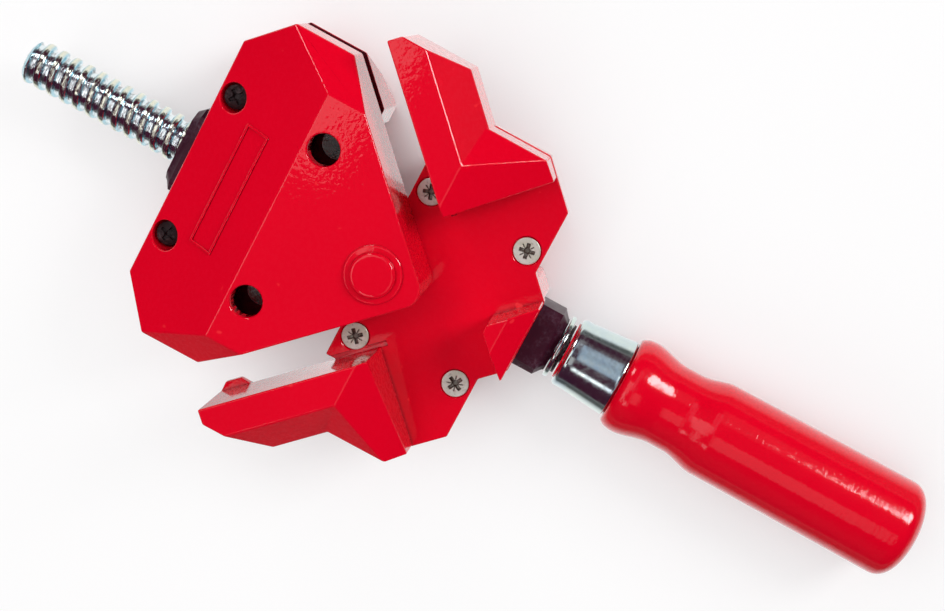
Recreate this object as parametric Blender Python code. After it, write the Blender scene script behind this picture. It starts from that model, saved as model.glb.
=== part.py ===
# Corner clamp for right-angled joints: two fixed jaws on a base, a sliding block between them,
# and a screw spindle with a wooden handle that pulls the block into the corner.
# Lengths are in metres. X runs along the spindle towards the handle, Z is up from the bench,
# and the origin lies on the bench straight below the corner where the two jaw faces meet.

import math

import bmesh
import bpy
from mathutils import Matrix, Vector

mm = 0.001
degree = math.pi / 180.0

# Clearances and working sizes
seat_gap = 0.3 * mm
slide_gap = 0.3 * mm
overrun = 2.0 * mm
blank_size = 400.0 * mm

# Levels above the bench
top_z = 46.0 * mm
plate_top_z = 25.0 * mm
plate_thickness = 3.0 * mm
spindle_z = 15.0 * mm

# Joints
swing_angle = 2.5 * degree
closing_travel = 11.3 * mm
opening_travel = 26.9 * mm

# Base plate, seen from above
plate_back_x = -34.4 * mm
plate_back_corner_y = 31.4 * mm
plate_front_x = 6.0 * mm
plate_corner_sum = 41.8 * mm
snout_front_x = 12.0 * mm
snout_corner_sum = 23.0 * mm

# Jaws: lengths along the jaw face from the corner, widths square to it
jaw_length = 78.7 * mm
jaw_end_reach = 2.95 * mm
jaw_width = 17.2 * mm
jaw_band_width = 9.2 * mm
jaw_outer_drop = 10.4 * mm
jaw_root_start = 31.0 * mm
jaw_root_y = 47.3 * mm
jaw_setback = 0.2 * mm
jaw_root_band_y = 36.5 * mm
jaw_root_drop = 9.9 * mm
jaw_root_ridge_x = -23.9 * mm
jaw_root_fall = 12.0 * mm
jaw_root_run = 22.4 * mm
jaw_core_wall = 3.4 * mm
jaw_core_step = 0.3 * mm
jaw_rib = 2.6 * mm
jaw_rib_share = 0.48

# Small ledges low on the jaw faces, which carry the ends of the workpieces
ledge_from_tip = 4.8 * mm
ledge_base = 8.7 * mm
ledge_tip = 4.5 * mm
ledge_reach = 2.2 * mm
ledge_lift = 0.3 * mm

# Relief groove along the foot of both jaw faces
relief_width = 1.3 * mm
relief_depth = 0.6 * mm
relief_undercut = 0.35 * mm
relief_start = 29.0 * mm

# Nose over the front bush
nose_drop = 6.0 * mm
nose_flat_x = 5.6 * mm
nose_front_drop = 3.4 * mm
nose_back_cut = 1.1 * mm
nose_setback = 0.3 * mm
nose_root = 1.5 * mm

# Lower half of the base
tray_inset = 2.4 * mm
tray_side_y = 33.0 * mm
tray_corner_sum = 38.6 * mm
tray_snout_y = 14.6 * mm
tray_snout_inset = 0.6 * mm
tray_floor = 3.2 * mm
tray_pocket_inner_y = 12.6 * mm
tray_pocket_outer_y = 29.6 * mm
tray_pocket_back_x = -23.0 * mm
tray_pocket_front_x = -6.5 * mm
channel_clearance = 0.9 * mm

# Sliding block, seen from above
block_tip_x = -15.6 * mm
block_tip_radius = 5.0 * mm
block_side_y = 47.2 * mm
block_flat_y = 36.3 * mm
block_end_drop = 9.6 * mm
block_flat_back_x = -62.9 * mm
block_back_x = -91.6 * mm
block_back_slope_share = 0.535
block_back_corner_y = 35.5 * mm
block_wall = 4.2 * mm
block_upper_bottom_z = 28.9 * mm
parting_height = 5.1 * mm
parting_inset = 2.0 * mm
parting_wall = 3.0 * mm

# Lower half of the block
foot_bottom_z = 11.0 * mm
foot_front_x = -51.5 * mm
foot_side_inset = 2.4 * mm
foot_neck_front_inset = 0.6 * mm
foot_recess_front_x = -63.0 * mm
sole_back_x = -88.8 * mm
sole_front_inset = 1.0 * mm
sole_side_y = 31.0 * mm
foot_pocket_back_x = -80.5 * mm
foot_pocket_front_x = -63.5 * mm
foot_pocket_inner_y = 16.0 * mm
foot_pocket_outer_y = 29.0 * mm
foot_floor = 3.4 * mm

# Bolt holes through the block, for holding the clamp down on a bench
bolt_hole_x = -57.3 * mm
bolt_hole_y = 22.8 * mm
bolt_hole_radius = 4.25 * mm

# Raised disc near the tip of the block and the raised frame on its back slope
disc_x = -31.0 * mm
disc_step_radius = 8.0 * mm
disc_step_height = 0.7 * mm
disc_radius = 6.15 * mm
disc_height = 2.1 * mm
frame_x = -75.8 * mm
frame_length = 35.6 * mm
frame_width = 7.4 * mm
frame_line = 0.7 * mm
frame_height = 0.4 * mm
frame_sink = 0.5 * mm

# Screw spindle
thread_pitch = 4.0 * mm
thread_radius = 6.5 * mm
thread_root_radius = 5.2 * mm
thread_root_share = 0.30
thread_flank_share = 0.17
thread_clearance = 0.35 * mm
thread_segments = 16
thread_start_x = -144.8 * mm
thread_end_x = -2.9 * mm
thread_chamfer = 1.0 * mm
journal_radius = 5.0 * mm
tang_radius = 4.0 * mm
tang_end_x = 96.0 * mm

# Front bush, which swivels in the base
bush_back_x = -1.0 * mm
bush_front_x = 20.7 * mm
bush_half_width = 9.5 * mm
bush_half_height = 7.5 * mm
bush_corner = 2.2 * mm
bush_pivot_x = 7.5 * mm
pin_radius = 3.0 * mm
pin_clearance = 0.3 * mm
front_pin_top_z = 30.0 * mm
pin_bottom_z = 2.6 * mm
pin_sink = 1.7 * mm

# Threaded swivel block in the sliding block
nut_back_x = -96.7 * mm
nut_front_x = -77.0 * mm
nut_half_width = 12.6 * mm
nut_half_height = 8.5 * mm
nut_corner = 2.4 * mm
nut_pin_sink = 1.2 * mm
nut_pivot_x = -84.0 * mm
nut_pin_top_z = 30.0 * mm
nut_boss_half_length = 6.2 * mm
nut_boss_half_width = 6.4 * mm

# Washers and the retaining ring on the spindle
washer_radius = 7.3 * mm
washer_thickness = 1.3 * mm
thrust_ring_radius = 9.3 * mm
thrust_ring_thickness = 1.2 * mm
snap_ring_radius = 7.4 * mm
snap_ring_thickness = 0.7 * mm
snap_ring_gap = 40.0 * degree
snap_groove_depth = 0.6 * mm

# Ferrule and handle
ferrule_length = 16.6 * mm
ferrule_front_radius = 10.0 * mm
ferrule_back_radius = 11.8 * mm
ferrule_wall = 1.3 * mm
ferrule_lip = 0.8 * mm
handle_neck_length = 0.6 * mm
handle_shoulder_radius = 11.9 * mm
handle_bulge_radius = 14.0 * mm
handle_bulge_place = 4.4 * mm
handle_waist_radius = 11.1 * mm
handle_waist_place = 16.0 * mm
handle_grip_radius = 14.1 * mm
handle_grip_place = 31.0 * mm
handle_end_radius = 14.4 * mm
handle_length = 94.0 * mm
handle_dome = 7.6 * mm

# Screws
screw_radius = 2.0 * mm
screw_hole_clearance = 0.3 * mm
countersunk_radius = 3.75 * mm
countersunk_land = 0.3 * mm
base_screw_length = 17.0 * mm
base_screw_back_x = -29.5 * mm
base_screw_back_y = 22.9 * mm
base_screw_front_x = 1.0 * mm
base_screw_front_y = 21.2 * mm
head_sink = 0.1 * mm
pan_radius = 3.5 * mm
pan_height = 2.6 * mm
pan_hole_clearance = 0.5 * mm
block_screw_x = -86.8 * mm
block_screw_y = 21.1 * mm
block_screw_seat_z = 27.4 * mm
block_screw_length = 18.0 * mm
screw_pad_half_width = 4.9 * mm
screw_pad_front = 4.5 * mm
recess_reach = 2.1 * mm
recess_width = 0.9 * mm
recess_depth = 1.5 * mm

# Faceting
round_segments = 28
handle_segments = 26
hole_segments = 16
pin_segments = 12

# Derived levels and places
plate_bottom_z = plate_top_z - plate_thickness
block_lower_top_z = block_upper_bottom_z - parting_height
block_upper_front_z = plate_top_z + slide_gap
bush_top_z = spindle_z + bush_half_height
bush_bottom_z = spindle_z - bush_half_height
nut_top_z = spindle_z + nut_half_height
nut_bottom_z = spindle_z - nut_half_height
diagonal = math.sqrt(0.5)
block_end_slope = block_end_drop / (block_side_y - block_flat_y)

red_enamel = (0.72, 0.004, 0.018, 1.0)
zinc_plate = (0.62, 0.66, 0.66, 1.0)
bright_steel = (0.72, 0.73, 0.74, 1.0)
black_oxide = (0.02, 0.015, 0.018, 1.0)
red_lacquer = (0.66, 0.006, 0.02, 1.0)


def clear_scene():
    for old in list(bpy.data.objects):
        bpy.data.objects.remove(old, do_unlink=True)


def make_material(name, colour, roughness, metallic):
    material = bpy.data.materials.new(name)
    material.use_nodes = True
    shader = material.node_tree.nodes["Principled BSDF"]
    shader.inputs["Base Color"].default_value = colour
    shader.inputs["Roughness"].default_value = roughness
    shader.inputs["Metallic"].default_value = metallic
    return material


def add_object(name, bm, material=None, smooth_angle=None):
    """Turn a bmesh into a named object with outward faces."""
    bmesh.ops.recalc_face_normals(bm, faces=bm.faces)
    mesh = bpy.data.meshes.new(name)
    bm.to_mesh(mesh)
    bm.free()
    thing = bpy.data.objects.new(name, mesh)
    bpy.context.scene.collection.objects.link(thing)
    if material is not None:
        mesh.materials.append(material)
    if smooth_angle is not None:
        mesh.shade_smooth()
        mesh.set_sharp_from_angle(angle=smooth_angle)
    return thing


def combine(target, tool, operation):
    """Leave a live Boolean on the target and turn the tool into a hidden guide."""
    modifier = target.modifiers.new(tool.name, "BOOLEAN")
    modifier.operation = operation
    modifier.object = tool
    tool.hide_render = True
    tool.display_type = "WIRE"


def cut(target, *tools):
    for tool in tools:
        combine(target, tool, "DIFFERENCE")


def join(target, *tools):
    for tool in tools:
        combine(target, tool, "UNION")


def facet_solid(planes):
    """A convex solid: a large blank trimmed by planes, each a point and an outward normal."""
    bm = bmesh.new()
    bmesh.ops.create_cube(bm, size=blank_size)
    for point, normal in planes:
        everything = bm.verts[:] + bm.edges[:] + bm.faces[:]
        result = bmesh.ops.bisect_plane(
            bm, geom=everything, plane_co=point, plane_no=normal, clear_outer=True
        )
        rim = [e for e in result["geom_cut"] if isinstance(e, bmesh.types.BMEdge)]
        if rim:
            bmesh.ops.contextual_create(bm, geom=rim)
    return bm


def facing(x, y, distance):
    """A vertical plane whose outward normal is (x, y), at a distance from the origin."""
    normal = Vector((x, y, 0.0)).normalized()
    return normal * distance, normal


def above(z):
    return Vector((0.0, 0.0, z)), Vector((0.0, 0.0, 1.0))


def below(z):
    return Vector((0.0, 0.0, z)), Vector((0.0, 0.0, -1.0))


def roof(x, y, distance, z, fall):
    """A sloping plane that is at height z at a distance along (x, y) and falls from there."""
    normal = Vector((x, y, 0.0)).normalized()
    return normal * distance + Vector((0.0, 0.0, z)), (normal * fall + Vector((0.0, 0.0, 1.0))).normalized()


def eave(x, y, distance, z, rise):
    """A sloping underside that is at height z at a distance along (x, y) and rises from there."""
    normal = Vector((x, y, 0.0)).normalized()
    return normal * distance + Vector((0.0, 0.0, z)), (normal * rise - Vector((0.0, 0.0, 1.0))).normalized()


def shrink(planes, wall):
    """The same planes moved inwards by a wall thickness."""
    return [(point - normal * wall, normal) for point, normal in planes]


def box(x0, x1, y0, y1, z0, z1):
    bm = bmesh.new()
    centre = Vector(((x0 + x1) / 2, (y0 + y1) / 2, (z0 + z1) / 2))
    scale = Matrix.Diagonal((x1 - x0, y1 - y0, z1 - z0, 1.0))
    bmesh.ops.create_cube(bm, size=1.0, matrix=Matrix.Translation(centre) @ scale)
    return bm


def prism(outline, z0, z1):
    bm = bmesh.new()
    floor = bm.faces.new([bm.verts.new((x, y, z0)) for x, y in outline])
    lifted = bmesh.ops.extrude_face_region(bm, geom=[floor])
    top = [v for v in lifted["geom"] if isinstance(v, bmesh.types.BMVert)]
    bmesh.ops.translate(bm, verts=top, vec=(0.0, 0.0, z1 - z0))
    return bm


def turned(outline, segments, sweep=2 * math.pi, start_angle=0.0):
    """A body of revolution about the X axis from (x, radius) points, closed or ending on the axis."""
    bm = bmesh.new()
    closed = abs(sweep - 2 * math.pi) < 1e-9
    rings = []
    steps = segments if closed else segments + 1
    for k in range(steps):
        angle = start_angle + sweep * k / segments
        rings.append([bm.verts.new((x, r * math.cos(angle), r * math.sin(angle))) for x, r in outline])
    for k in range(segments):
        first = rings[k]
        second = rings[(k + 1) % steps]
        for i in range(len(outline)):
            j = (i + 1) % len(outline)
            if outline[i][1] > 0.0 or outline[j][1] > 0.0:
                bm.faces.new((first[i], first[j], second[j], second[i]))
    if not closed:
        bm.faces.new(rings[0])
        bm.faces.new(rings[-1])
    bmesh.ops.remove_doubles(bm, verts=bm.verts, dist=seat_gap / 100)
    loose = [f for f in bm.faces if f.calc_area() < seat_gap * seat_gap / 1e6]
    bmesh.ops.delete(bm, geom=loose, context="FACES")
    return bm


def moved(bm, x, y, z):
    bmesh.ops.translate(bm, verts=bm.verts, vec=(x, y, z))
    return bm


def upright(bm, x, y):
    """Stand a body of revolution about X on end, so that its X becomes Z, at (x, y)."""
    turn = Matrix.Rotation(-math.pi / 2, 4, "Y")
    bmesh.ops.transform(bm, matrix=Matrix.Translation((x, y, 0.0)) @ turn, verts=bm.verts)
    return bm


def cylinder(radius, z0, z1, x, y, segments=hole_segments):
    return upright(turned([(z0, 0.0), (z0, radius), (z1, radius), (z1, 0.0)], segments), x, y)


def gather(*meshes):
    """Several separate bodies in one bmesh."""
    whole = bmesh.new()
    for bm in meshes:
        carrier = bpy.data.meshes.new("carrier")
        bm.to_mesh(carrier)
        bm.free()
        whole.from_mesh(carrier)
        bpy.data.meshes.remove(carrier)
    return whole


def both_sides(make, *args):
    return gather(make(1.0, *args), make(-1.0, *args))


def fence(side, along, outward):
    """Plan point at a length along a jaw face from the corner and a width outside it."""
    return (outward - along) * diagonal, side * (outward + along) * diagonal


def helix_solid(start, end, root, crest, root_share, flank_share):
    """A right-hand threaded rod about X: columns of profile points, each a fraction of a turn further on."""
    shares = (0.0, root_share, root_share + flank_share, 1.0 - flank_share)
    radii = (root, root, crest, crest)
    first = math.floor(start / thread_pitch) - 2
    turns = math.ceil((end - start) / thread_pitch) + 4
    bm = bmesh.new()
    columns = []
    for j in range(thread_segments):
        angle = 2 * math.pi * j / thread_segments
        column = []
        for k in range(turns):
            for share, radius in zip(shares, radii):
                x = thread_pitch * (first + k + share + j / thread_segments)
                column.append(bm.verts.new((x, radius * math.cos(angle), radius * math.sin(angle))))
        columns.append(column)
    count = len(columns[0])
    per_turn = len(shares)
    for j in range(thread_segments):
        near = columns[j]
        if j + 1 < thread_segments:
            far = columns[j + 1]
        else:
            far = columns[0][per_turn:]
        for i in range(min(count, len(far)) - 1):
            bm.faces.new((near[i], near[i + 1], far[i + 1], far[i]))
    for x, direction in ((start, -1.0), (end, 1.0)):
        everything = bm.verts[:] + bm.edges[:] + bm.faces[:]
        result = bmesh.ops.bisect_plane(
            bm, geom=everything, plane_co=(x, 0.0, 0.0), plane_no=(direction, 0.0, 0.0), clear_outer=True
        )
        rim = [e for e in result["geom_cut"] if isinstance(e, bmesh.types.BMEdge)]
        bmesh.ops.contextual_create(bm, geom=rim)
    return bm


# Base


def jaw_tip_planes(side):
    return [
        facing(-1, -side, 0.0),
        facing(1, side, jaw_width),
        facing(-1, side, jaw_length),
        facing(1, -side, -jaw_root_start),
        facing(0, side, jaw_length * diagonal + jaw_end_reach),
        above(top_z),
        roof(1, side, jaw_band_width, top_z, jaw_outer_drop / (jaw_width - jaw_band_width)),
        roof(1, 0, jaw_root_ridge_x, top_z, jaw_root_fall / jaw_root_run),
    ]


def jaw_root_planes(side):
    return [
        facing(-1, -side, 0.0),
        facing(1, side, plate_corner_sum * diagonal - jaw_setback),
        facing(1, -side, -jaw_root_start),
        facing(-1, 0, -plate_back_x),
        facing(0, side, jaw_root_y - jaw_setback),
        above(top_z),
        roof(0, side, jaw_root_band_y, top_z, jaw_root_drop / (jaw_root_y - jaw_root_band_y)),
        roof(1, 0, jaw_root_ridge_x, top_z, jaw_root_fall / jaw_root_run),
    ]


def jaw_tip(side):
    return facet_solid(jaw_tip_planes(side) + [below(plate_bottom_z)])


def jaw_root(side):
    return facet_solid(jaw_root_planes(side) + [below(plate_bottom_z)])


def jaw_rib_place():
    """Length along the jaw of the rib that stiffens its hollow underside."""
    return jaw_root_start + (jaw_length - jaw_root_start) * jaw_rib_share


def jaw_tip_core(side):
    walls = shrink(jaw_tip_planes(side), jaw_core_wall)
    return facet_solid(walls + [below(-overrun), facing(1, -side, -jaw_rib_place() - jaw_rib / 2)])


def jaw_middle_core(side):
    walls = shrink(jaw_tip_planes(side), jaw_core_wall)
    return facet_solid(walls + [below(-overrun), facing(-1, side, jaw_rib_place() - jaw_rib / 2)])


def jaw_root_core(side):
    walls = shrink(jaw_root_planes(side), jaw_core_wall + jaw_core_step)
    return facet_solid(walls + [below(-overrun)])


def ledge(side):
    along = jaw_length - ledge_from_tip
    points = [
        fence(side, along - ledge_base / 2, jaw_core_wall / 2),
        fence(side, along - ledge_base / 2, 0.0),
        fence(side, along - ledge_tip / 2, -ledge_reach),
        fence(side, along + ledge_tip / 2, -ledge_reach),
        fence(side, along + ledge_base / 2, 0.0),
        fence(side, along + ledge_base / 2, jaw_core_wall / 2),
    ]
    return prism(points, plate_bottom_z + ledge_lift, plate_top_z - ledge_lift)


def relief(side):
    """Groove cutter along the foot of one jaw face, in the plate and a little into the jaw."""
    near = [fence(side, relief_start, w) for w in (relief_undercut, -relief_width)]
    far = [fence(side, plate_back_corner_y / diagonal + overrun, w) for w in (-relief_width, relief_undercut)]
    return prism(near + far, plate_top_z - relief_depth, plate_top_z)


def jaw_foot_relief(side):
    """Sets the foot of the jaw face back where it hangs below the top of the plate."""
    start = plate_back_corner_y / diagonal + relief_width
    near = [fence(side, start, w) for w in (relief_undercut, -relief_undercut)]
    far = [fence(side, jaw_length + overrun, w) for w in (-relief_undercut, relief_undercut)]
    return prism(near + far, plate_bottom_z - overrun, plate_top_z)


def plate_outline():
    """Half of the plate's plan, then the same points mirrored."""
    half = [
        (snout_front_x, snout_corner_sum - snout_front_x),
        (plate_front_x, snout_corner_sum - plate_front_x),
        (plate_front_x, plate_corner_sum - plate_front_x),
        (plate_corner_sum - jaw_root_y, jaw_root_y),
        (plate_corner_sum - jaw_root_y - jaw_width, jaw_root_y),
        (jaw_root_ridge_x, jaw_root_band_y),
        (jaw_root_ridge_x, plate_back_corner_y),
        (plate_back_x, plate_back_corner_y),
    ]
    return half + [(x, -y) for x, y in reversed(half)]


def nose():
    fall = nose_front_drop / (snout_front_x - nose_flat_x)
    return facet_solid([
        facing(-1, 1, 0.0),
        facing(-1, -1, 0.0),
        facing(1, 1, snout_corner_sum * diagonal - nose_setback),
        facing(1, -1, snout_corner_sum * diagonal - nose_setback),
        facing(1, 0, snout_front_x - nose_setback),
        facing(-1, 0, -nose_back_cut),
        above(top_z - nose_drop),
        roof(1, 0, nose_flat_x, top_z - nose_drop, fall),
        below(plate_top_z - nose_root),
    ])


def bush_pocket(z0, z1):
    sweep = (bush_pivot_x - bush_back_x) * math.sin(swing_angle)
    side_sweep = bush_half_width * math.sin(swing_angle)
    half = bush_half_width + sweep + seat_gap
    back = washer_back_x() - side_sweep - seat_gap
    return box(back, snout_front_x + overrun, -half, half, z0, z1)


def washer_back_x():
    return bush_back_x - seat_gap - washer_thickness


def spindle_channel(pivot_x, reach_x, x0, x1, z0, z1, neighbour_radius):
    """Slot that leaves the spindle room to swing about a pivot."""
    sweep = abs(pivot_x - reach_x) * math.sin(swing_angle)
    half = max(thread_radius + sweep + channel_clearance, neighbour_radius + channel_clearance)
    return box(x0, x1, -half, half, z0, z1)


def base_screw_places():
    return [
        (x, side * y)
        for x, y in ((base_screw_back_x, base_screw_back_y), (base_screw_front_x, base_screw_front_y))
        for side in (1.0, -1.0)
    ]


def countersink_cutter(x, y):
    wide = countersunk_radius + screw_hole_clearance
    narrow = screw_radius + screw_hole_clearance
    top = plate_top_z + overrun
    land = plate_top_z - countersunk_land - head_sink
    outline = [
        (top, 0.0), (top, wide), (land, wide), (land - (wide - narrow), narrow),
        (plate_bottom_z - overrun, narrow), (plate_bottom_z - overrun, 0.0),
    ]
    return upright(turned(outline, hole_segments), x, y)


def make_base_top_shell(material):
    shell = add_object("base_top_shell", prism(plate_outline(), plate_bottom_z, plate_top_z), material)
    join(
        shell,
        add_object("base_jaw_tips", both_sides(jaw_tip)),
        add_object("base_jaw_roots", both_sides(jaw_root)),
        add_object("base_nose", nose()),
    )
    cut(
        shell,
        add_object("base_reliefs", both_sides(relief)),
        add_object("base_foot_reliefs", both_sides(jaw_foot_relief)),
    )
    join(shell, add_object("base_ledges", both_sides(ledge)))
    cut(
        shell,
        add_object("base_jaw_tip_cores", both_sides(jaw_tip_core)),
        add_object("base_jaw_middle_cores", both_sides(jaw_middle_core)),
        add_object("base_jaw_root_cores", both_sides(jaw_root_core)),
        add_object("base_bush_pocket", bush_pocket(-overrun, bush_top_z + seat_gap)),
        add_object("base_holes", gather(
            cylinder(pin_radius + pin_clearance, 0.0, front_pin_top_z + seat_gap, bush_pivot_x, 0.0),
            *[countersink_cutter(x, y) for x, y in base_screw_places()],
        )),
    )
    return shell


def tray_side_pocket(side):
    y0 = side * tray_pocket_inner_y
    y1 = side * tray_pocket_outer_y
    return box(
        tray_pocket_back_x, tray_pocket_front_x, min(y0, y1), max(y0, y1), tray_floor, plate_top_z
    )


def make_base_bottom_shell(material):
    top = plate_bottom_z - seat_gap
    body = facet_solid([
        facing(-1, 0, -plate_back_x - tray_inset),
        facing(1, 0, plate_front_x - tray_inset),
        facing(0, 1, tray_side_y),
        facing(0, -1, tray_side_y),
        facing(1, 1, tray_corner_sum * diagonal),
        facing(1, -1, tray_corner_sum * diagonal),
        above(top),
        below(0.0),
    ])
    corner = snout_corner_sum - 2 * tray_snout_inset
    snout = facet_solid([
        facing(-1, 0, -bush_back_x),
        facing(1, 0, snout_front_x - tray_snout_inset),
        facing(0, 1, tray_snout_y),
        facing(0, -1, tray_snout_y),
        facing(1, 1, corner * diagonal),
        facing(1, -1, corner * diagonal),
        above(top),
        below(0.0),
    ])
    shell = add_object("base_bottom_shell", body, material)
    join(shell, add_object("tray_snout", snout))
    channel = spindle_channel(
        bush_pivot_x, plate_back_x, plate_back_x - overrun, bush_back_x,
        spindle_z - thread_radius - 2 * channel_clearance, plate_top_z, washer_radius,
    )
    cut(
        shell,
        add_object("tray_channel", channel),
        add_object("tray_bush_pocket", bush_pocket(bush_bottom_z - seat_gap, plate_top_z)),
        add_object("tray_side_pockets", both_sides(tray_side_pocket)),
        add_object("tray_holes", gather(
            cylinder(pin_radius + pin_clearance, pin_bottom_z - seat_gap, spindle_z, bush_pivot_x, 0.0),
            *[
                cylinder(
                    screw_radius + screw_hole_clearance,
                    plate_top_z - base_screw_length - seat_gap, plate_top_z, x, y,
                )
                for x, y in base_screw_places()
            ],
        )),
    )
    return shell


# Screws


def cross_recess(top, x, y):
    """A crossed slot that a screwdriver fits."""
    half = recess_width / 2
    corners = [(recess_reach, -half), (recess_reach, half), (half, half)]
    plan = []
    for quarter_turn in range(4):
        cosine = round(math.cos(math.pi / 2 * quarter_turn))
        sine = round(math.sin(math.pi / 2 * quarter_turn))
        plan += [(x + a * cosine - b * sine, y + a * sine + b * cosine) for a, b in corners]
    return prism(plan, top - recess_depth, top + overrun)


def make_countersunk_screw(name, x, y, material):
    top = plate_top_z - head_sink
    tip = plate_top_z - base_screw_length
    land = top - countersunk_land
    neck = land - (countersunk_radius - screw_radius)
    outline = [
        (top, 0.0), (top, countersunk_radius), (land, countersunk_radius), (neck, screw_radius),
        (tip + screw_radius / 2, screw_radius), (tip, screw_radius / 2), (tip, 0.0),
    ]
    screw = add_object(name, upright(turned(outline, hole_segments), x, y), material, 40 * degree)
    cut(screw, add_object(f"{name}_recess", cross_recess(top, x, y)))
    return screw


def make_pan_screw(name, x, y, material):
    seat = block_screw_seat_z + seat_gap
    top = seat + pan_height
    tip = seat - block_screw_length
    corner = pan_height / 3
    outline = [
        (top, 0.0), (top, pan_radius - corner), (top - corner, pan_radius), (seat, pan_radius),
        (seat, screw_radius), (tip + screw_radius / 2, screw_radius), (tip, screw_radius / 2), (tip, 0.0),
    ]
    screw = add_object(name, upright(turned(outline, hole_segments), x, y), material, 40 * degree)
    cut(screw, add_object(f"{name}_recess", cross_recess(top, x, y)))
    return screw


# Sliding block


def block_side_planes():
    """Vertical faces of the block, seen from above."""
    rear_corner = block_back_corner_y - block_back_x
    return [
        facing(1, 1, block_tip_x * diagonal),
        facing(1, -1, block_tip_x * diagonal),
        facing(0, 1, block_side_y),
        facing(0, -1, block_side_y),
        facing(-1, 1, rear_corner * diagonal),
        facing(-1, -1, rear_corner * diagonal),
        facing(-1, 0, -block_back_x),
    ]


def back_slope():
    return roof(-1, 0, -block_flat_back_x, top_z, block_back_slope_share)


def block_roof_planes():
    return [
        above(top_z),
        back_slope(),
        roof(0, 1, block_flat_y, top_z, block_end_slope),
        roof(0, -1, block_flat_y, top_z, block_end_slope),
    ]


def round_tip(bm):
    """Round the upright edge where the two clamping faces of the block meet."""
    edges = [
        e for e in bm.edges
        if all(abs(v.co.x - block_tip_x) < seat_gap and abs(v.co.y) < seat_gap for v in e.verts)
    ]
    bmesh.ops.bevel(
        bm, geom=edges, offset=block_tip_radius, offset_type="OFFSET", segments=6, profile=0.5, affect="EDGES"
    )
    return bm


def frame_plan(inset):
    """Long rectangle on the back slope, seen from above."""
    half = frame_length / 2 - inset
    reach = frame_width / 2 - inset
    return [(frame_x + end * reach, side * half) for end, side in ((-1, -1), (1, -1), (1, 1), (-1, 1))]


def raised_frame():
    """A bare frame standing a little proud of the back slope."""
    frame = add_object("block_frame", prism(frame_plan(0.0), plate_top_z, top_z))
    cut(frame, add_object("block_frame_inside", prism(frame_plan(frame_line), 0.0, top_z + overrun)))
    combine(frame, add_object("block_frame_slab", slope_slab()), "INTERSECT")
    return frame


def raised_disc():
    """A stepped round boss on the flat top near the tip of the block."""
    step_z = top_z + disc_step_height
    outline = [
        (top_z - block_wall / 2, 0.0), (top_z - block_wall / 2, disc_step_radius),
        (step_z, disc_step_radius), (step_z, disc_radius), (top_z + disc_height, disc_radius),
        (top_z + disc_height, 0.0),
    ]
    return upright(turned(outline, round_segments), disc_x, 0.0)


def screw_pad(side):
    """Solid seat inside the back of the block for one of its screws."""
    y = side * block_screw_y
    return facet_solid(shrink([back_slope()], block_wall / 2) + [
        facing(-1, 0, -block_back_x),
        facing(1, 0, block_screw_x + screw_pad_front),
        facing(0, 1, y + screw_pad_half_width),
        facing(0, -1, screw_pad_half_width - y),
        below(block_lower_top_z + seat_gap),
    ])


def nut_boss():
    """Solid seat inside the back of the block for the upper pivot pin of the nut."""
    return facet_solid(shrink([back_slope()], block_wall / 2) + [
        facing(-1, 0, nut_boss_half_length - nut_pivot_x),
        facing(1, 0, nut_pivot_x + nut_boss_half_length),
        facing(0, 1, nut_boss_half_width),
        facing(0, -1, nut_boss_half_width),
        below(nut_top_z + seat_gap),
    ])


def slope_slab():
    """Thin slab that follows the back slope, from just under it to the top of the raised frame."""
    point, normal = back_slope()
    return facet_solid([
        (point + normal * frame_height, normal),
        (point - normal * frame_sink, -normal),
        facing(0, 1, frame_length),
        facing(0, -1, frame_length),
        facing(1, 0, block_flat_back_x),
        facing(-1, 0, -block_back_x),
    ])


def make_block_top_shell(material):
    outside = facet_solid(block_side_planes() + block_roof_planes() + [below(block_upper_front_z)])
    shell = add_object("block_top_shell", round_tip(outside), material)
    inside = facet_solid(shrink(block_side_planes() + block_roof_planes(), block_wall) + [below(0.0)])
    rear_relief = box(
        block_back_x - overrun, foot_front_x + seat_gap, -block_side_y - overrun, block_side_y + overrun,
        0.0, block_upper_bottom_z,
    )
    cut(shell, add_object("block_core", inside), add_object("block_parting", rear_relief))
    pads = gather(screw_pad(1.0), screw_pad(-1.0))
    join(shell, add_object("block_screw_pads", pads), add_object("block_nut_boss", nut_boss()))
    join(shell, add_object("block_disc", raised_disc()), raised_frame())
    holes = [cylinder(pin_radius + pin_clearance, 0.0, nut_pin_top_z + seat_gap, nut_pivot_x, 0.0)]
    for side in (1.0, -1.0):
        holes.append(cylinder(bolt_hole_radius, 0.0, top_z + overrun, bolt_hole_x, side * bolt_hole_y))
        holes.append(cylinder(
            screw_radius + screw_hole_clearance, 0.0, block_screw_seat_z + overrun,
            block_screw_x, side * block_screw_y,
        ))
    cut(shell, add_object("block_top_holes", gather(*holes)))
    seats = [
        cylinder(pan_radius + pan_hole_clearance, block_screw_seat_z, top_z, block_screw_x, side * block_screw_y)
        for side in (1.0, -1.0)
    ]
    cut(shell, add_object("block_screw_seats", gather(*seats)))
    return shell


def foot_side_planes():
    """The block's upright faces, with the two clamping faces set back to clear the jaw ledges."""
    return shrink(block_side_planes()[:2], foot_side_inset) + block_side_planes()[2:]


def screw_pad_room(side):
    y = side * block_screw_y
    half = screw_pad_half_width + seat_gap
    return box(
        block_back_x - overrun, block_screw_x + screw_pad_front + seat_gap, y - half, y + half,
        block_lower_top_z, top_z,
    )


def foot_pocket(side):
    y0 = side * foot_pocket_inner_y
    y1 = side * foot_pocket_outer_y
    return box(foot_pocket_back_x, foot_pocket_front_x, min(y0, y1), max(y0, y1), foot_floor, top_z)


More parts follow.
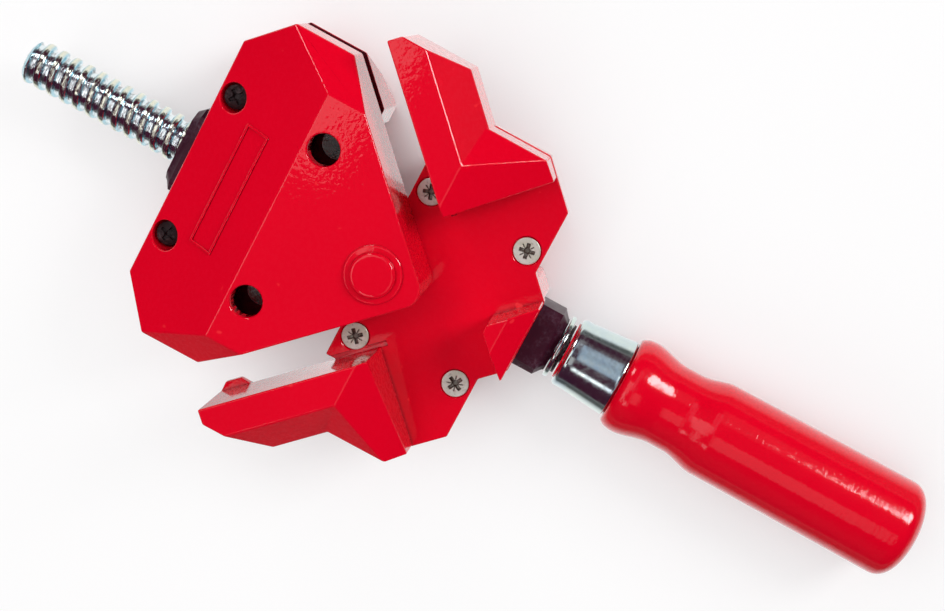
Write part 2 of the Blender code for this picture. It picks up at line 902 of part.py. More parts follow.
def make_block_bottom_shell(material):
    sides = foot_side_planes()
    body = facet_solid(sides + [
        facing(1, 0, foot_front_x),
        above(block_lower_top_z),
        below(foot_bottom_z),
        eave(0, 1, block_flat_y, foot_bottom_z, 1 / block_end_slope),
        eave(0, -1, block_flat_y, foot_bottom_z, 1 / block_end_slope),
    ])
    neck = facet_solid(shrink(sides, parting_inset) + [
        facing(1, 0, foot_front_x - foot_neck_front_inset),
        above(block_upper_bottom_z - seat_gap), below(block_lower_top_z - parting_wall),
    ])
    sole = box(
        sole_back_x, foot_front_x - sole_front_inset, -sole_side_y, sole_side_y,
        0.0, foot_bottom_z + parting_wall,
    )
    shell = add_object("block_bottom_shell", body, material)
    join(shell, add_object("foot_neck", neck), add_object("foot_sole", sole))
    inside = facet_solid(shrink(sides, parting_inset + parting_wall) + [
        facing(1, 0, foot_recess_front_x), above(top_z), below(block_lower_top_z),
    ])
    side_sweep = nut_half_width * math.sin(swing_angle)
    half = nut_half_width + (nut_pivot_x - block_back_x) * math.sin(swing_angle) + seat_gap
    nut_pocket = box(
        block_back_x - overrun, nut_front_x + side_sweep + seat_gap, -half, half,
        nut_bottom_z - seat_gap, top_z,
    )
    channel = spindle_channel(
        nut_pivot_x, foot_front_x, nut_front_x, foot_front_x + overrun,
        spindle_z - thread_radius - channel_clearance, top_z, thread_radius,
    )
    holes = [cylinder(pin_radius + pin_clearance, pin_bottom_z - seat_gap, spindle_z, nut_pivot_x, 0.0)]
    for side in (1.0, -1.0):
        holes.append(cylinder(bolt_hole_radius, -overrun, top_z, bolt_hole_x, side * bolt_hole_y))
        holes.append(cylinder(
            screw_radius + screw_hole_clearance,
            block_screw_seat_z - block_screw_length - seat_gap, top_z, block_screw_x, side * block_screw_y,
        ))
    cut(
        shell,
        add_object("foot_recess", inside),
        add_object("foot_pad_rooms", both_sides(screw_pad_room)),
        add_object("foot_nut_pocket", nut_pocket),
        add_object("foot_channel", channel),
        add_object("foot_pockets", both_sides(foot_pocket)),
        add_object("foot_holes", gather(*holes)),
    )
    return shell


# Spindle line


def chamfered_bar(x0, x1, half_width, half_height, corner, front, back):
    """A rectangular bar along X with its long edges cut, and the edges of the named ends too."""
    planes = [
        facing(0, 1, half_width),
        facing(0, -1, half_width),
        above(half_height),
        below(-half_height),
        facing(1, 0, x1),
        facing(-1, 0, -x0),
    ]
    reach = (half_width + half_height - corner) * diagonal
    for y in (1, -1):
        for z in (1, -1):
            normal = Vector((0.0, y, z)).normalized()
            planes.append((normal * reach, normal))
    for x, end, wanted in ((1, x1, front), (-1, -x0, back)):
        if wanted:
            for y in (1, -1):
                planes.append(facing(x, y, (end + half_width - corner) * diagonal))
            for z in (1, -1):
                normal = Vector((x, 0.0, z)).normalized()
                planes.append((normal * (end + half_height - corner) * diagonal, normal))
    return facet_solid(planes)


def make_front_bush(material):
    bar = chamfered_bar(bush_back_x, bush_front_x, bush_half_width, bush_half_height, bush_corner, True, False)
    bush = add_object("front_bush", moved(bar, 0.0, 0.0, spindle_z), material)
    bore_radius = journal_radius + seat_gap
    bore = turned([
        (bush_back_x - overrun, 0.0), (bush_back_x - overrun, bore_radius),
        (bush_front_x + overrun, bore_radius), (bush_front_x + overrun, 0.0),
    ], hole_segments)
    holes = gather(
        cylinder(pin_radius + pin_clearance, bush_top_z - pin_sink, top_z, bush_pivot_x, 0.0),
        cylinder(pin_radius + pin_clearance, -overrun, bush_bottom_z + pin_sink, bush_pivot_x, 0.0),
    )
    cut(
        bush,
        add_object("front_bush_bore", moved(bore, 0.0, 0.0, spindle_z)),
        add_object("front_bush_pin_holes", holes),
    )
    return bush


def make_nut(material):
    bar = chamfered_bar(nut_back_x, nut_front_x, nut_half_width, nut_half_height, nut_corner, False, True)
    nut = add_object("swivel_nut", moved(bar, 0.0, 0.0, spindle_z), material)
    widened = thread_root_share * thread_pitch - 2 * thread_clearance
    tool = helix_solid(
        nut_back_x - overrun, nut_front_x + overrun,
        thread_root_radius + thread_clearance, thread_radius + thread_clearance,
        widened / thread_pitch, thread_flank_share,
    )
    bmesh.ops.translate(tool, verts=tool.verts, vec=(thread_clearance, 0.0, spindle_z))
    pin_holes = gather(
        cylinder(pin_radius + pin_clearance, nut_top_z - nut_pin_sink, top_z, nut_pivot_x, 0.0),
        cylinder(pin_radius + pin_clearance, -overrun, nut_bottom_z + nut_pin_sink, nut_pivot_x, 0.0),
    )
    cut(nut, add_object("swivel_nut_thread", tool), add_object("swivel_nut_pin_holes", pin_holes))
    return nut


def make_pin(name, x, z0, z1, material):
    corner = pin_radius / 6
    outline = [
        (z0, 0.0), (z0, pin_radius - corner), (z0 + corner, pin_radius),
        (z1 - corner, pin_radius), (z1, pin_radius - corner), (z1, 0.0),
    ]
    return add_object(name, upright(turned(outline, pin_segments), x, 0.0), material, 40 * degree)


def thrust_ring_x():
    return bush_front_x + seat_gap


def snap_ring_x():
    return thrust_ring_x() + thrust_ring_thickness + seat_gap


def handle_front_x():
    return snap_ring_x() + snap_ring_thickness + seat_gap


def ferrule_front_x():
    return handle_front_x() + handle_neck_length


def handle_body_x():
    return ferrule_front_x() + ferrule_length + seat_gap


def make_spindle(material):
    rod = helix_solid(
        thread_start_x, thread_end_x, thread_root_radius, thread_radius,
        thread_root_share, thread_flank_share,
    )
    spindle = add_object("spindle", moved(rod, 0.0, 0.0, spindle_z), material)
    outer = thread_radius + overrun
    envelope = turned([
        (thread_start_x - overrun, 0.0), (thread_start_x, thread_radius - thread_chamfer),
        (thread_start_x + thread_chamfer + overrun, outer), (thread_end_x - thread_chamfer - overrun, outer),
        (thread_end_x + overrun, thread_radius - thread_chamfer - overrun), (thread_end_x + overrun, 0.0),
    ], round_segments, start_angle=math.pi / round_segments)
    combine(spindle, add_object("spindle_envelope", moved(envelope, 0.0, 0.0, spindle_z)), "INTERSECT")
    groove = journal_radius - snap_groove_depth
    shank = turned([
        (thread_end_x - thread_pitch, 0.0), (thread_end_x - thread_pitch, journal_radius),
        (snap_ring_x() - seat_gap / 2, journal_radius), (snap_ring_x() - seat_gap / 2, groove),
        (snap_ring_x() + snap_ring_thickness + seat_gap / 2, groove),
        (snap_ring_x() + snap_ring_thickness + seat_gap / 2, tang_radius),
        (tang_end_x - tang_radius / 2, tang_radius), (tang_end_x, tang_radius / 2), (tang_end_x, 0.0),
    ], hole_segments)
    join(spindle, add_object("spindle_shank", moved(shank, 0.0, 0.0, spindle_z)))
    return spindle


def make_ring(name, x0, thickness, inner, outer, material, sweep=2 * math.pi):
    corner = min(thickness, outer - inner) / 5
    outline = [
        (x0, inner), (x0 + thickness, inner), (x0 + thickness, outer - corner),
        (x0 + thickness - corner, outer), (x0 + corner, outer), (x0, outer - corner),
    ]
    ring = moved(turned(outline, round_segments, sweep), 0.0, 0.0, spindle_z)
    return add_object(name, ring, material, 40 * degree)


def make_ferrule(material):
    front = ferrule_front_x()
    back = front + ferrule_length
    lip = ferrule_lip
    outline = [
        (front, ferrule_front_radius - ferrule_wall), (front, ferrule_front_radius - lip),
        (front + lip / 3, ferrule_front_radius - lip / 3), (front + lip, ferrule_front_radius),
        (back - lip / 2, ferrule_back_radius), (back, ferrule_back_radius - lip / 2),
        (back, ferrule_back_radius - ferrule_wall), (front + lip, ferrule_front_radius - ferrule_wall),
    ]
    ferrule = moved(turned(outline, round_segments), 0.0, 0.0, spindle_z)
    return add_object("ferrule", ferrule, material, 40 * degree)


def eased(start, end, steps):
    """Points from one (x, radius) to another along half a cosine wave, without the first."""
    points = []
    for k in range(1, steps + 1):
        t = k / steps
        blend = (1.0 - math.cos(math.pi * t)) / 2
        points.append((start[0] + (end[0] - start[0]) * t, start[1] + (end[1] - start[1]) * blend))
    return points


def quarter(centre, reach, height, start_angle, end_angle, steps):
    """Points along a stretch of an ellipse about a centre."""
    return [
        (
            centre[0] + reach * math.sin(start_angle + (end_angle - start_angle) * k / steps),
            centre[1] + height * math.cos(start_angle + (end_angle - start_angle) * k / steps),
        )
        for k in range(steps + 1)
    ]


def handle_outline():
    """Turned profile: a tenon inside the ferrule, a bulge, a waist, the long grip and a domed end."""
    body = handle_body_x()
    end = body + handle_length
    front = handle_front_x()
    lip = ferrule_lip
    tenon_front = ferrule_front_radius - ferrule_wall - seat_gap
    tenon_back = ferrule_back_radius - ferrule_wall - seat_gap
    bore = tang_radius + seat_gap
    points = [
        (tang_end_x + seat_gap, 0.0), (tang_end_x + seat_gap, bore), (front, bore),
        (front, tenon_front), (ferrule_front_x() + lip, tenon_front), (body - seat_gap, tenon_back),
        (body - seat_gap / 2, tenon_back),
    ]
    points += quarter(
        (body + handle_bulge_place, handle_shoulder_radius), handle_bulge_place,
        handle_bulge_radius - handle_shoulder_radius, -math.pi / 2, 0.0, 4,
    )
    bulge = (body + handle_bulge_place, handle_bulge_radius)
    waist = (body + handle_waist_place, handle_waist_radius)
    grip = (body + handle_grip_place, handle_grip_radius)
    points += eased(bulge, waist, 5)
    points += eased(waist, grip, 5)
    points += quarter((end - handle_dome, 0.0), handle_dome, handle_end_radius, 0.0, math.pi / 2, 6)
    points[-1] = (end, 0.0)
    return points


def make_handle(material):
    handle = moved(turned(handle_outline(), handle_segments), 0.0, 0.0, spindle_z)
    return add_object("handle", handle, material, 40 * degree)


# Assembly


def make_axis(name, point):
    axis = bpy.data.objects.new(name, None)
    axis.empty_display_size = thread_radius
    axis.location = point
    bpy.context.scene.collection.objects.link(axis)
    return axis


def carry(axis, *pieces):
    """Parent pieces to an empty on their joint's axis and keep them where they are."""
    for piece in pieces:
        piece.parent = axis
        piece.location = -axis.location


def main():
    clear_scene()
    enamel = make_material("red_enamel", red_enamel, 0.25, 0.0)
    zinc = make_material("zinc_plate", zinc_plate, 0.3, 1.0)
    steel = make_material("bright_steel", bright_steel, 0.2, 1.0)
    black = make_material("black_oxide", black_oxide, 0.45, 0.3)
    lacquer = make_material("red_lacquer", red_lacquer, 0.15, 0.0)

    make_base_top_shell(enamel)
    make_base_bottom_shell(enamel)
    for number, (x, y) in enumerate(base_screw_places(), start=1):
        make_countersunk_screw(f"base_screw_{number}", x, y, zinc)

    swing_axis = make_axis("swing_axis", (bush_pivot_x, 0.0, spindle_z))
    carry(
        swing_axis,
        make_front_bush(black),
        make_pin("front_pin_upper", bush_pivot_x, bush_top_z - pin_sink + seat_gap, front_pin_top_z, steel),
        make_pin("front_pin_lower", bush_pivot_x, pin_bottom_z, bush_bottom_z + pin_sink - seat_gap, steel),
    )

    spin_axis = make_axis("spin_axis", (bush_pivot_x, 0.0, spindle_z))
    ring_bore = journal_radius + seat_gap
    carry(
        spin_axis,
        make_spindle(zinc),
        make_ring("shoulder_washer", washer_back_x(), washer_thickness, ring_bore, washer_radius, steel),
        make_ring("thrust_ring", thrust_ring_x(), thrust_ring_thickness, ring_bore, thrust_ring_radius, steel),
        make_ring(
            "snap_ring", snap_ring_x(), snap_ring_thickness, journal_radius - snap_groove_depth + seat_gap,
            snap_ring_radius, black, 2 * math.pi - snap_ring_gap,
        ),
        make_ferrule(steel),
        make_handle(lacquer),
    )

    nut_axis = make_axis("nut_axis", (nut_pivot_x, 0.0, spindle_z))
    carry(
        nut_axis,
        make_nut(black),
        make_pin("nut_pin_upper", nut_pivot_x, nut_top_z - nut_pin_sink + seat_gap, nut_pin_top_z, steel),
        make_pin("nut_pin_lower", nut_pivot_x, pin_bottom_z, nut_bottom_z + nut_pin_sink - seat_gap, steel),
    )

    block_axis = make_axis("block_axis", (nut_pivot_x, 0.0, spindle_z))
    carry(
        block_axis,
        make_block_top_shell(enamel),
        make_block_bottom_shell(enamel),
        make_pan_screw("block_screw_1", block_screw_x, block_screw_y, black),
        make_pan_screw("block_screw_2", block_screw_x, -block_screw_y, black),
    )


main()
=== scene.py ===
import math

import bpy
import bmesh
import numpy as np
from mathutils import Matrix, Vector


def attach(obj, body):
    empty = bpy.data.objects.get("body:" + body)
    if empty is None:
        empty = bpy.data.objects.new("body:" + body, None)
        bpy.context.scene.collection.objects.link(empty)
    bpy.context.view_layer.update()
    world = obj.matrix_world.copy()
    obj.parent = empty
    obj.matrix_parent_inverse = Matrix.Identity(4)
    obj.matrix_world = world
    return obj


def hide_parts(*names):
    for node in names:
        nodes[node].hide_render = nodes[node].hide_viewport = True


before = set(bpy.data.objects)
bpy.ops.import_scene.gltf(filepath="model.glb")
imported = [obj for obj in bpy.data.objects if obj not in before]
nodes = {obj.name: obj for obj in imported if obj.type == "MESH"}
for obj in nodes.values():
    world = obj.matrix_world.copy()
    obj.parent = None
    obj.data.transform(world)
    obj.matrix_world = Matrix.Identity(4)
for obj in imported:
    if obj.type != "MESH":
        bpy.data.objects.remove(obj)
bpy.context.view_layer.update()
scene = bpy.context.scene
mm = 0.001
spindleZ = 0.015  # height of the spindle's line above the bench
print("frame loaded,", len(nodes), "nodes")


# Camera

view = {
    "place": (0.009562, 0.106759, 0.482119),
    "right": (0.877085, 0.477338, -0.053570),
    "up": (-0.479169, 0.861732, -0.166777),
    "back": (-0.033446, 0.171947, 0.984538),
    "lens": 65.0089, "shiftX": -0.150265, "shiftY": -0.031746,
}


def addToScene(name, data):
    thing = bpy.data.objects.new(name, data)
    scene.collection.objects.link(thing)
    return thing


def setCamera():
    data = bpy.data.cameras.new("studioCamera")
    data.sensor_width = 36.0
    data.lens = view["lens"]
    data.shift_x, data.shift_y = view["shiftX"], view["shiftY"]
    data.clip_start, data.clip_end = 0.01, 20.0
    camera = addToScene("studioCamera", data)
    turn = Matrix((view["right"], view["up"], view["back"])).transposed()
    camera.matrix_world = Matrix.Translation(view["place"]) @ turn.to_4x4()
    scene.camera = camera


setCamera()


# Helpers for node materials

def startMaterial(name, **sockets):
    material = bpy.data.materials.new(name)
    material.use_nodes = True
    tree = material.node_tree
    shader = tree.nodes["Principled BSDF"]
    for socket, value in sockets.items():
        shader.inputs[socket.replace("_", " ")].default_value = value
    return material, tree, shader


def startCoated(name, roughness):
    # A clear gloss coat over paint that mirrors almost nothing by itself
    return startMaterial(
        name, IOR=1.5, Coat_Weight=1.0, Coat_Roughness=roughness, Coat_IOR=1.5, Specular_IOR_Level=0.03,
    )


def setInput(tree, socket, value):
    if isinstance(value, bpy.types.NodeSocket):
        tree.links.new(value, socket)
    else:
        socket.default_value = value


def addNode(tree, kind, inputs=None, **settings):
    node = tree.nodes.new("ShaderNode" + kind)
    for key, value in settings.items():
        setattr(node, key, value)
    for key, value in (inputs or {}).items():
        setInput(tree, node.inputs[key], value)
    return node


def noiseField(tree, scale, detail=3.0, rough=0.5, stretch=(1, 1, 1)):
    place = addNode(tree, "Mapping", {"Vector": objectPlace(tree), "Scale": stretch})
    noise = addNode(tree, "TexNoise", {
        "Vector": place.outputs["Vector"], "Scale": scale, "Detail": detail, "Roughness": rough,
    })
    return noise.outputs["Fac"]


def ramp(tree, value, stops):
    node = addNode(tree, "ValToRGB", {"Fac": value})
    elements = node.color_ramp.elements
    while len(elements) < len(stops):
        elements.new(0.5)
    for element, (place, shade) in zip(elements, stops):
        element.position = place
        element.color = shade if isinstance(shade, tuple) else (shade, shade, shade, 1.0)
    return node.outputs["Color"]


def spread(tree, value, low, high, fromLow=0.0, fromHigh=1.0):
    return addNode(tree, "MapRange", {
        "Value": value, "From Min": fromLow, "From Max": fromHigh, "To Min": low, "To Max": high,
    }).outputs["Result"]


def combineValues(tree, first, second, operation="MULTIPLY"):
    return addNode(tree, "Math", {0: first, 1: second}, operation=operation).outputs["Value"]


def mixColours(tree, share, first, second):
    return addNode(tree, "Mix", {0: share, 6: first, 7: second}, data_type="RGBA").outputs[2]


def cloudColour(tree, noise, low, high, first, second):
    # The second colour takes over where the noise rises from low to high
    return mixColours(tree, spread(tree, noise, 0.0, 1.0, low, high), first, second)


def openSky(tree, distance, local=True):
    # Near 0 in corners and crevices, 1 where nothing is close by
    node = addNode(tree, "AmbientOcclusion", {"Distance": distance}, samples=8, only_local=local)
    return node.outputs["AO"]


def objectPlace(tree):
    return addNode(tree, "TexCoord").outputs["Object"]


def dressShader(tree, shader, colour, rough, bumps):
    # The roughness is a field with its range. Each bump is a height field with its depth in metres and its
    # strength, and lies on the one before.
    rough = spread(tree, *rough)
    normal = None
    for height, (depth, strength) in bumps:
        inputs = {"Height": height, "Distance": depth, "Strength": strength}
        if normal is not None:
            inputs["Normal"] = normal
        normal = addNode(tree, "Bump", inputs).outputs["Normal"]
    sockets = ["Base Color", "Roughness", "Normal"]
    if shader.inputs["Coat Weight"].default_value:
        sockets.append("Coat Normal")
    for socket, value in zip(sockets, (colour, rough, normal, normal)):
        tree.links.new(value, shader.inputs[socket])


# Red enamel of the castings: a thick gloss coat with a faint orange peel, a few specks of dust, and painted shade
# in its corners and creases

enamel = {
    "colour": (0.720, 0.0004, 0.0150, 1.0),
    "deep": (0.670, 0.0003, 0.0135, 1.0),
    "rubbed": (0.800, 0.020, 0.030, 1.0),
    "creviceShade": (0.16, 0.0, 0.006, 1.0),
    "creviceShadeReach": 0.0022,
    "peelScale": 780.0, "peelBump": (0.00005, 0.6),
    "swellScale": 90.0, "swellBump": (0.00016, 0.3),
    "speckScale": 260.0,
}


def makeEnamel():
    material, tree, shader = startCoated("redEnamel", 0.03)
    colour = cloudColour(tree, noiseField(tree, 16.0, 2.0), 0.35, 0.65, enamel["colour"], enamel["deep"])
    # Painted shade: ambient occlusion darkens the red in the casting's own corners and creases
    corners = openSky(tree, enamel["creviceShadeReach"])
    colour = mixColours(tree, ramp(tree, corners, [(0.25, 0.9), (0.75, 0.0)]), colour, enamel["creviceShade"])
    specks = ramp(tree, noiseField(tree, enamel["speckScale"], 1.0), [(0.0, 0.0), (0.76, 0.0), (0.80, 1.0)])
    colour = mixColours(tree, specks, colour, enamel["rubbed"])
    peel = noiseField(tree, enamel["peelScale"], 2.0)
    swell = noiseField(tree, enamel["swellScale"], 2.0)
    bumps = [(swell, enamel["swellBump"]), (peel, enamel["peelBump"])]
    dressShader(tree, shader, colour, (peel, 0.20, 0.34, 0.3, 0.7), bumps)
    return material


# Red lacquer of the handle: wet gloss over turned wood, with fine rings round the axis and runs along it

lacquer = {
    "colour": (0.720, 0.0004, 0.0150, 1.0),
    "deep": (0.640, 0.0003, 0.0125, 1.0),
    "ringScale": 260.0, "ringBump": (0.00012, 0.4),
    "runScale": 240.0, "runBump": (0.00006, 0.4),
    "fineScale": 1000.0, "fineBump": (0.00009, 0.8),
}


def makeLacquer():
    material, tree, shader = startCoated("redLacquer", 0.06)
    grain = noiseField(tree, 60.0, 4.0, 0.6, (0.12, 1.0, 1.0))
    colour = cloudColour(tree, grain, 0.3, 0.7, lacquer["colour"], lacquer["deep"])
    rings = noiseField(tree, lacquer["ringScale"], 3.0, 0.6, (1.0, 0.18, 0.18))
    runs = noiseField(tree, lacquer["runScale"], 2.0, 0.5, (0.6, 1.0, 1.0))
    fine = noiseField(tree, lacquer["fineScale"], 3.0, 0.65, (1.0, 0.25, 0.25))
    bumps = [(rings, lacquer["ringBump"]), (runs, lacquer["runBump"]), (fine, lacquer["fineBump"])]
    dressShader(tree, shader, colour, (runs, 0.20, 0.36, 0.3, 0.7), bumps)
    return material


# Zinc plating of the spindle, with painted reflections: the colour follows the distance from the axis, from pale
# blue in the root over blue flanks to olive crests. Rolling leaves fine lines round the thread, and dark patches
# lie over it, more of them towards the root.

zinc = {
    "root": (0.80, 0.87, 0.89, 1.0),
    "flank": (0.46, 0.68, 0.76, 1.0),
    "crest": (0.80, 0.80, 0.66, 1.0),
    "darkPatch": (0.10, 0.055, 0.05, 1.0),
    "rootRadius": 0.0050, "crestRadius": 0.0066,
    "lineScale": 1500.0, "lineBump": (0.00024, 1.0),
    "pitScale": 1300.0, "pitBump": (0.00006, 0.7),
}


def makeZincThread():
    material, tree, shader = startMaterial("zincPlatePaintedReflections", Metallic=1.0)
    split = addNode(tree, "SeparateXYZ", {"Vector": objectPlace(tree)})
    upright = combineValues(tree, split.outputs["Z"], spindleZ, "SUBTRACT")
    flat = addNode(tree, "CombineXYZ", {"X": split.outputs["Y"], "Y": upright})
    radius = addNode(tree, "VectorMath", {0: flat.outputs["Vector"]}, operation="LENGTH").outputs["Value"]
    # Painted reflection: the colour is set by the distance from the axis, not by the plating
    share = spread(tree, radius, 0.0, 1.0, zinc["rootRadius"], zinc["crestRadius"])
    colour = ramp(tree, share, [
        (0.12, zinc["root"]), (0.45, zinc["flank"]), (0.78, zinc["flank"]), (0.93, zinc["crest"]),
    ])
    # Dark patches, more of them towards the root
    patchy = ramp(tree, noiseField(tree, 800.0, 4.0, 0.7, (1.0, 0.3, 0.3)), [(0.0, 0.0), (0.52, 0.0), (0.66, 1.0)])
    low = ramp(tree, share, [(0.0, 0.75), (0.5, 0.45), (0.8, 0.15)])
    colour = mixColours(tree, combineValues(tree, patchy, low), colour, zinc["darkPatch"])
    lines = noiseField(tree, zinc["lineScale"], 2.0, 0.6, (1.0, 0.12, 0.12))
    pits = noiseField(tree, zinc["pitScale"], 2.0, 0.6)
    bumps = [(lines, zinc["lineBump"]), (pits, zinc["pitBump"])]
    dressShader(tree, shader, colour, (patchy, 0.12, 0.40), bumps)
    return material


# Yellowed zinc of the cover screws: duller, so it takes an even light, with painted shade down in the cross

screwZinc = {
    "olive": (0.56, 0.57, 0.46, 1.0), "pale": (0.66, 0.66, 0.60, 1.0), "crossShade": (0.055, 0.020, 0.012, 1.0),
    "crossShadeReach": 0.0020, "scratchBump": (0.00004, 0.5),
}


def makeZincScrew():
    material, tree, shader = startMaterial("zincScrew", Metallic=0.35, IOR=1.5)
    tint = noiseField(tree, 260.0, 4.0, 0.65)
    colour = cloudColour(tree, tint, 0.40, 0.60, screwZinc["olive"], screwZinc["pale"])
    patchy = ramp(tree, noiseField(tree, 900.0, 4.0, 0.7), [(0.0, 0.0), (0.55, 0.0), (0.72, 1.0)])
    colour = mixColours(tree, combineValues(tree, patchy, 0.45), colour, zinc["darkPatch"])
    # Painted shade: ambient occlusion darkens the cross and the head's edge towards a dark brown
    shade = ramp(tree, openSky(tree, screwZinc["crossShadeReach"]), [(0.45, 1.0), (0.92, 0.0)])
    colour = mixColours(tree, shade, colour, screwZinc["crossShade"])
    scratch = noiseField(tree, 900.0, 3.0, 0.6, (0.25, 1.0, 1.0))
    dressShader(tree, shader, colour, (scratch, 0.30, 0.48, 0.3, 0.7), [(scratch, screwZinc["scratchBump"])])
    return material


# Bright steel of the ferrule, rings and pins, with the fine lines that turning leaves

steel = {
    "warm": (0.72, 0.81, 0.74, 1), "cool": (0.52, 0.64, 0.72, 1),
    "lineBump": (0.00002, 0.5), "mottleBump": (0.00002, 0.4),
}


def makeBrightSteel():
    material, tree, shader = startMaterial("brightSteel", Metallic=1.0)
    colour = cloudColour(tree, noiseField(tree, 70.0, 4.0, 0.6), 0.35, 0.65, steel["warm"], steel["cool"])
    lines = noiseField(tree, 1500.0, 2.0, 0.5, (1.0, 0.04, 0.04))
    mottle = noiseField(tree, 900.0, 3.0, 0.7)
    bumps = [(lines, steel["lineBump"]), (mottle, steel["mottleBump"])]
    dressShader(tree, shader, colour, (mottle, 0.09, 0.26, 0.3, 0.7), bumps)
    return material


# Blackened iron of the bush and the nut, and the darker steel of the rear screws and the retaining ring

def makeBlackened(name, colour, worn, rough, fineDepth):
    material, tree, shader = startMaterial(name, Metallic=0.25, IOR=1.5, Specular_IOR_Level=0.2)
    cloud = noiseField(tree, 150.0, 5.0, 0.65)
    fine = noiseField(tree, 1100.0, 3.0, 0.6)
    share = combineValues(tree, spread(tree, cloud, 0.0, 1.0, 0.45, 0.7), spread(tree, fine, 0.0, 1.0, 0.4, 0.7))
    bumps = [(cloud, (0.00012, 0.4)), (fine, (fineDepth, 0.5))]
    dressShader(tree, shader, mixColours(tree, share, colour, worn), (cloud, rough, rough + 0.18, 0.3, 0.7), bumps)
    return material


# Where the two halves of the block face each other, the floor of the slit gets a dark, dull coat: a painted shade
# for the shadow in the slit

slitShadeColours = {"dark": (0.040, 0.001, 0.004, 1), "worn": (0.095, 0.001, 0.008, 1), "bump": (0.00006, 0.5)}


def makeSlitPaintedShade():
    material, tree, shader = startMaterial("slitPaintedShade", IOR=1.5, Specular_IOR_Level=0.1)
    patches = noiseField(tree, 320.0, 4.0, 0.65)
    colour = cloudColour(tree, patches, 0.35, 0.65, slitShadeColours["dark"], slitShadeColours["worn"])
    dressShader(tree, shader, colour, (patches, 0.55, 0.80), [(patches, slitShadeColours["bump"])])
    return material


redEnamel = makeEnamel()
slitPaintedShade = makeSlitPaintedShade()
redLacquer = makeLacquer()
zincThread = makeZincThread()
zincScrew = makeZincScrew()
brightSteel = makeBrightSteel()
blackIron = makeBlackened("blackIron", (0.048, 0.007, 0.020, 1), (0.12, 0.07, 0.10, 1), 0.30, 0.00005)
blackSteel = makeBlackened("blackSteel", (0.022, 0.012, 0.014, 1), (0.14, 0.12, 0.12, 1), 0.34, 0.00004)
print("materials made")


# Surfaces from whole arrays

def gridFaces(rows, columns, wraps):
    i = np.arange(rows - 1)[:, None]
    j = np.arange(columns if wraps else columns - 1)[None, :]
    k = (j + 1) % columns
    near, far = i * columns, (i + 1) * columns
    return np.stack([near + j, near + k, far + k, far + j], axis=-1).reshape(-1, 4)


def gridMesh(name, parts, distance=2e-6):
    # Each part is a grid of points, and whether its last column joins the first
    vertices, faces, start = [], [], 0
    for points, wraps in parts:
        vertices.append(points.reshape(-1, 3))
        faces.append(gridFaces(*points.shape[:2], wraps) + start)
        start += len(vertices[-1])
    mesh = bpy.data.meshes.new(name)
    mesh.from_pydata(np.concatenate(vertices).tolist(), [], np.concatenate(faces).tolist())
    bm = readMesh(mesh)
    bmesh.ops.remove_doubles(bm, verts=bm.verts, dist=distance)
    bmesh.ops.dissolve_degenerate(bm, edges=bm.edges, dist=distance)
    bmesh.ops.recalc_face_normals(bm, faces=bm.faces)
    bm.to_mesh(mesh)
    bm.free()
    return mesh


def putPiece(name, mesh, material, body, replaced, sharpFrom):
    mesh.materials.append(material)
    mesh.shade_smooth()
    mesh.set_sharp_from_angle(angle=math.radians(sharpFrom))
    piece = addToScene(name, mesh)
    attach(piece, body)
    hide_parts(replaced)
    return piece


def putSurface(name, parts, material, body, replaced, sharpFrom=35.0):
    putPiece(name, gridMesh(name, parts), material, body, replaced, sharpFrom)


def readMesh(mesh):
    bm = bmesh.new()
    bm.from_mesh(mesh)
    return bm


def fullTurn(steps):
    return np.linspace(0.0, 2 * np.pi, steps, endpoint=False)


def roundSpindle(x, radius, angle):
    # Millimetres from the spindle's line to points in the world
    points = np.stack([x, radius * np.cos(angle), radius * np.sin(angle)], axis=-1) * mm
    points[..., 2] += spindleZ
    return points


# Turned pieces: a profile of (x, radius) points in millimetres carried round the spindle's line.
# The profile closes on itself or on the axis.

def turnedGrid(profile, steps):
    x = np.repeat(profile[:, :1], steps, axis=1)
    return roundSpindle(x, profile[:, 1:2], fullTurn(steps)), True


def uprightGrid(profile, x, y, lean=0.0, steps=72):
    # A profile of (radius, height) carried round an upright line, in millimetres. A row's lean tilts it along x
    profile = np.asarray(profile, float)
    angle = fullTurn(steps)
    across, aside = profile[:, :1] * np.cos(angle), profile[:, :1] * np.sin(angle)
    return np.stack([x + across, y + aside, profile[:, 1:2] + lean * across], axis=-1), True


def roundCorners(corners, steps=5):
    # Each corner becomes an arc as wide as its rounding: points on a quadratic curve
    corners, radii = np.split(np.array(corners, float), [2], axis=1)
    before = np.roll(corners, 1, axis=0) - corners
    after = np.roll(corners, -1, axis=0) - corners
    lengthBefore = np.linalg.norm(before, axis=1)
    lengthAfter = np.linalg.norm(after, axis=1)
    reach = np.minimum(radii, 0.49 * np.minimum(lengthBefore, lengthAfter)[:, None])
    first = corners + before / lengthBefore[:, None] * reach
    last = corners + after / lengthAfter[:, None] * reach
    t = np.linspace(0.0, 1.0, steps)[None, :, None]
    curve = (1 - t) ** 2 * first[:, None] + 2 * t * (1 - t) * corners[:, None] + t ** 2 * last[:, None]
    return curve.reshape(-1, 2)


def closeLoop(profile):
    return np.concatenate([profile, profile[:1]])


def makeTurned(name, corners, steps, replaced):
    profile = closeLoop(roundCorners(corners))
    putSurface(name, [turnedGrid(profile, steps)], brightSteel, "spindle", replaced)


# Handle: half waves between the bulge, the waist and the grip, and part ellipses at both ends

handleShape = {
    "front": 23.5, "bodyFront": 41.0, "end": 135.0,
    "boreRadius": 4.3, "boreEnd": 96.3,
    "tenonFront": 8.4, "tenonBack": 10.2, "tenonFlat": 1.4, "tenonEase": (0.3, 0.2),
    "shoulder": 11.9, "bulge": 14.0, "bulgeAt": 45.4,
    "waist": 12.0, "waistAt": 56.5, "waistEnd": 60.5,
    "grip": 14.0, "gripAt": 71.0,
    "endRadius": 14.4, "dome": 7.6, "square": 2.5,
    "steps": 128,
}


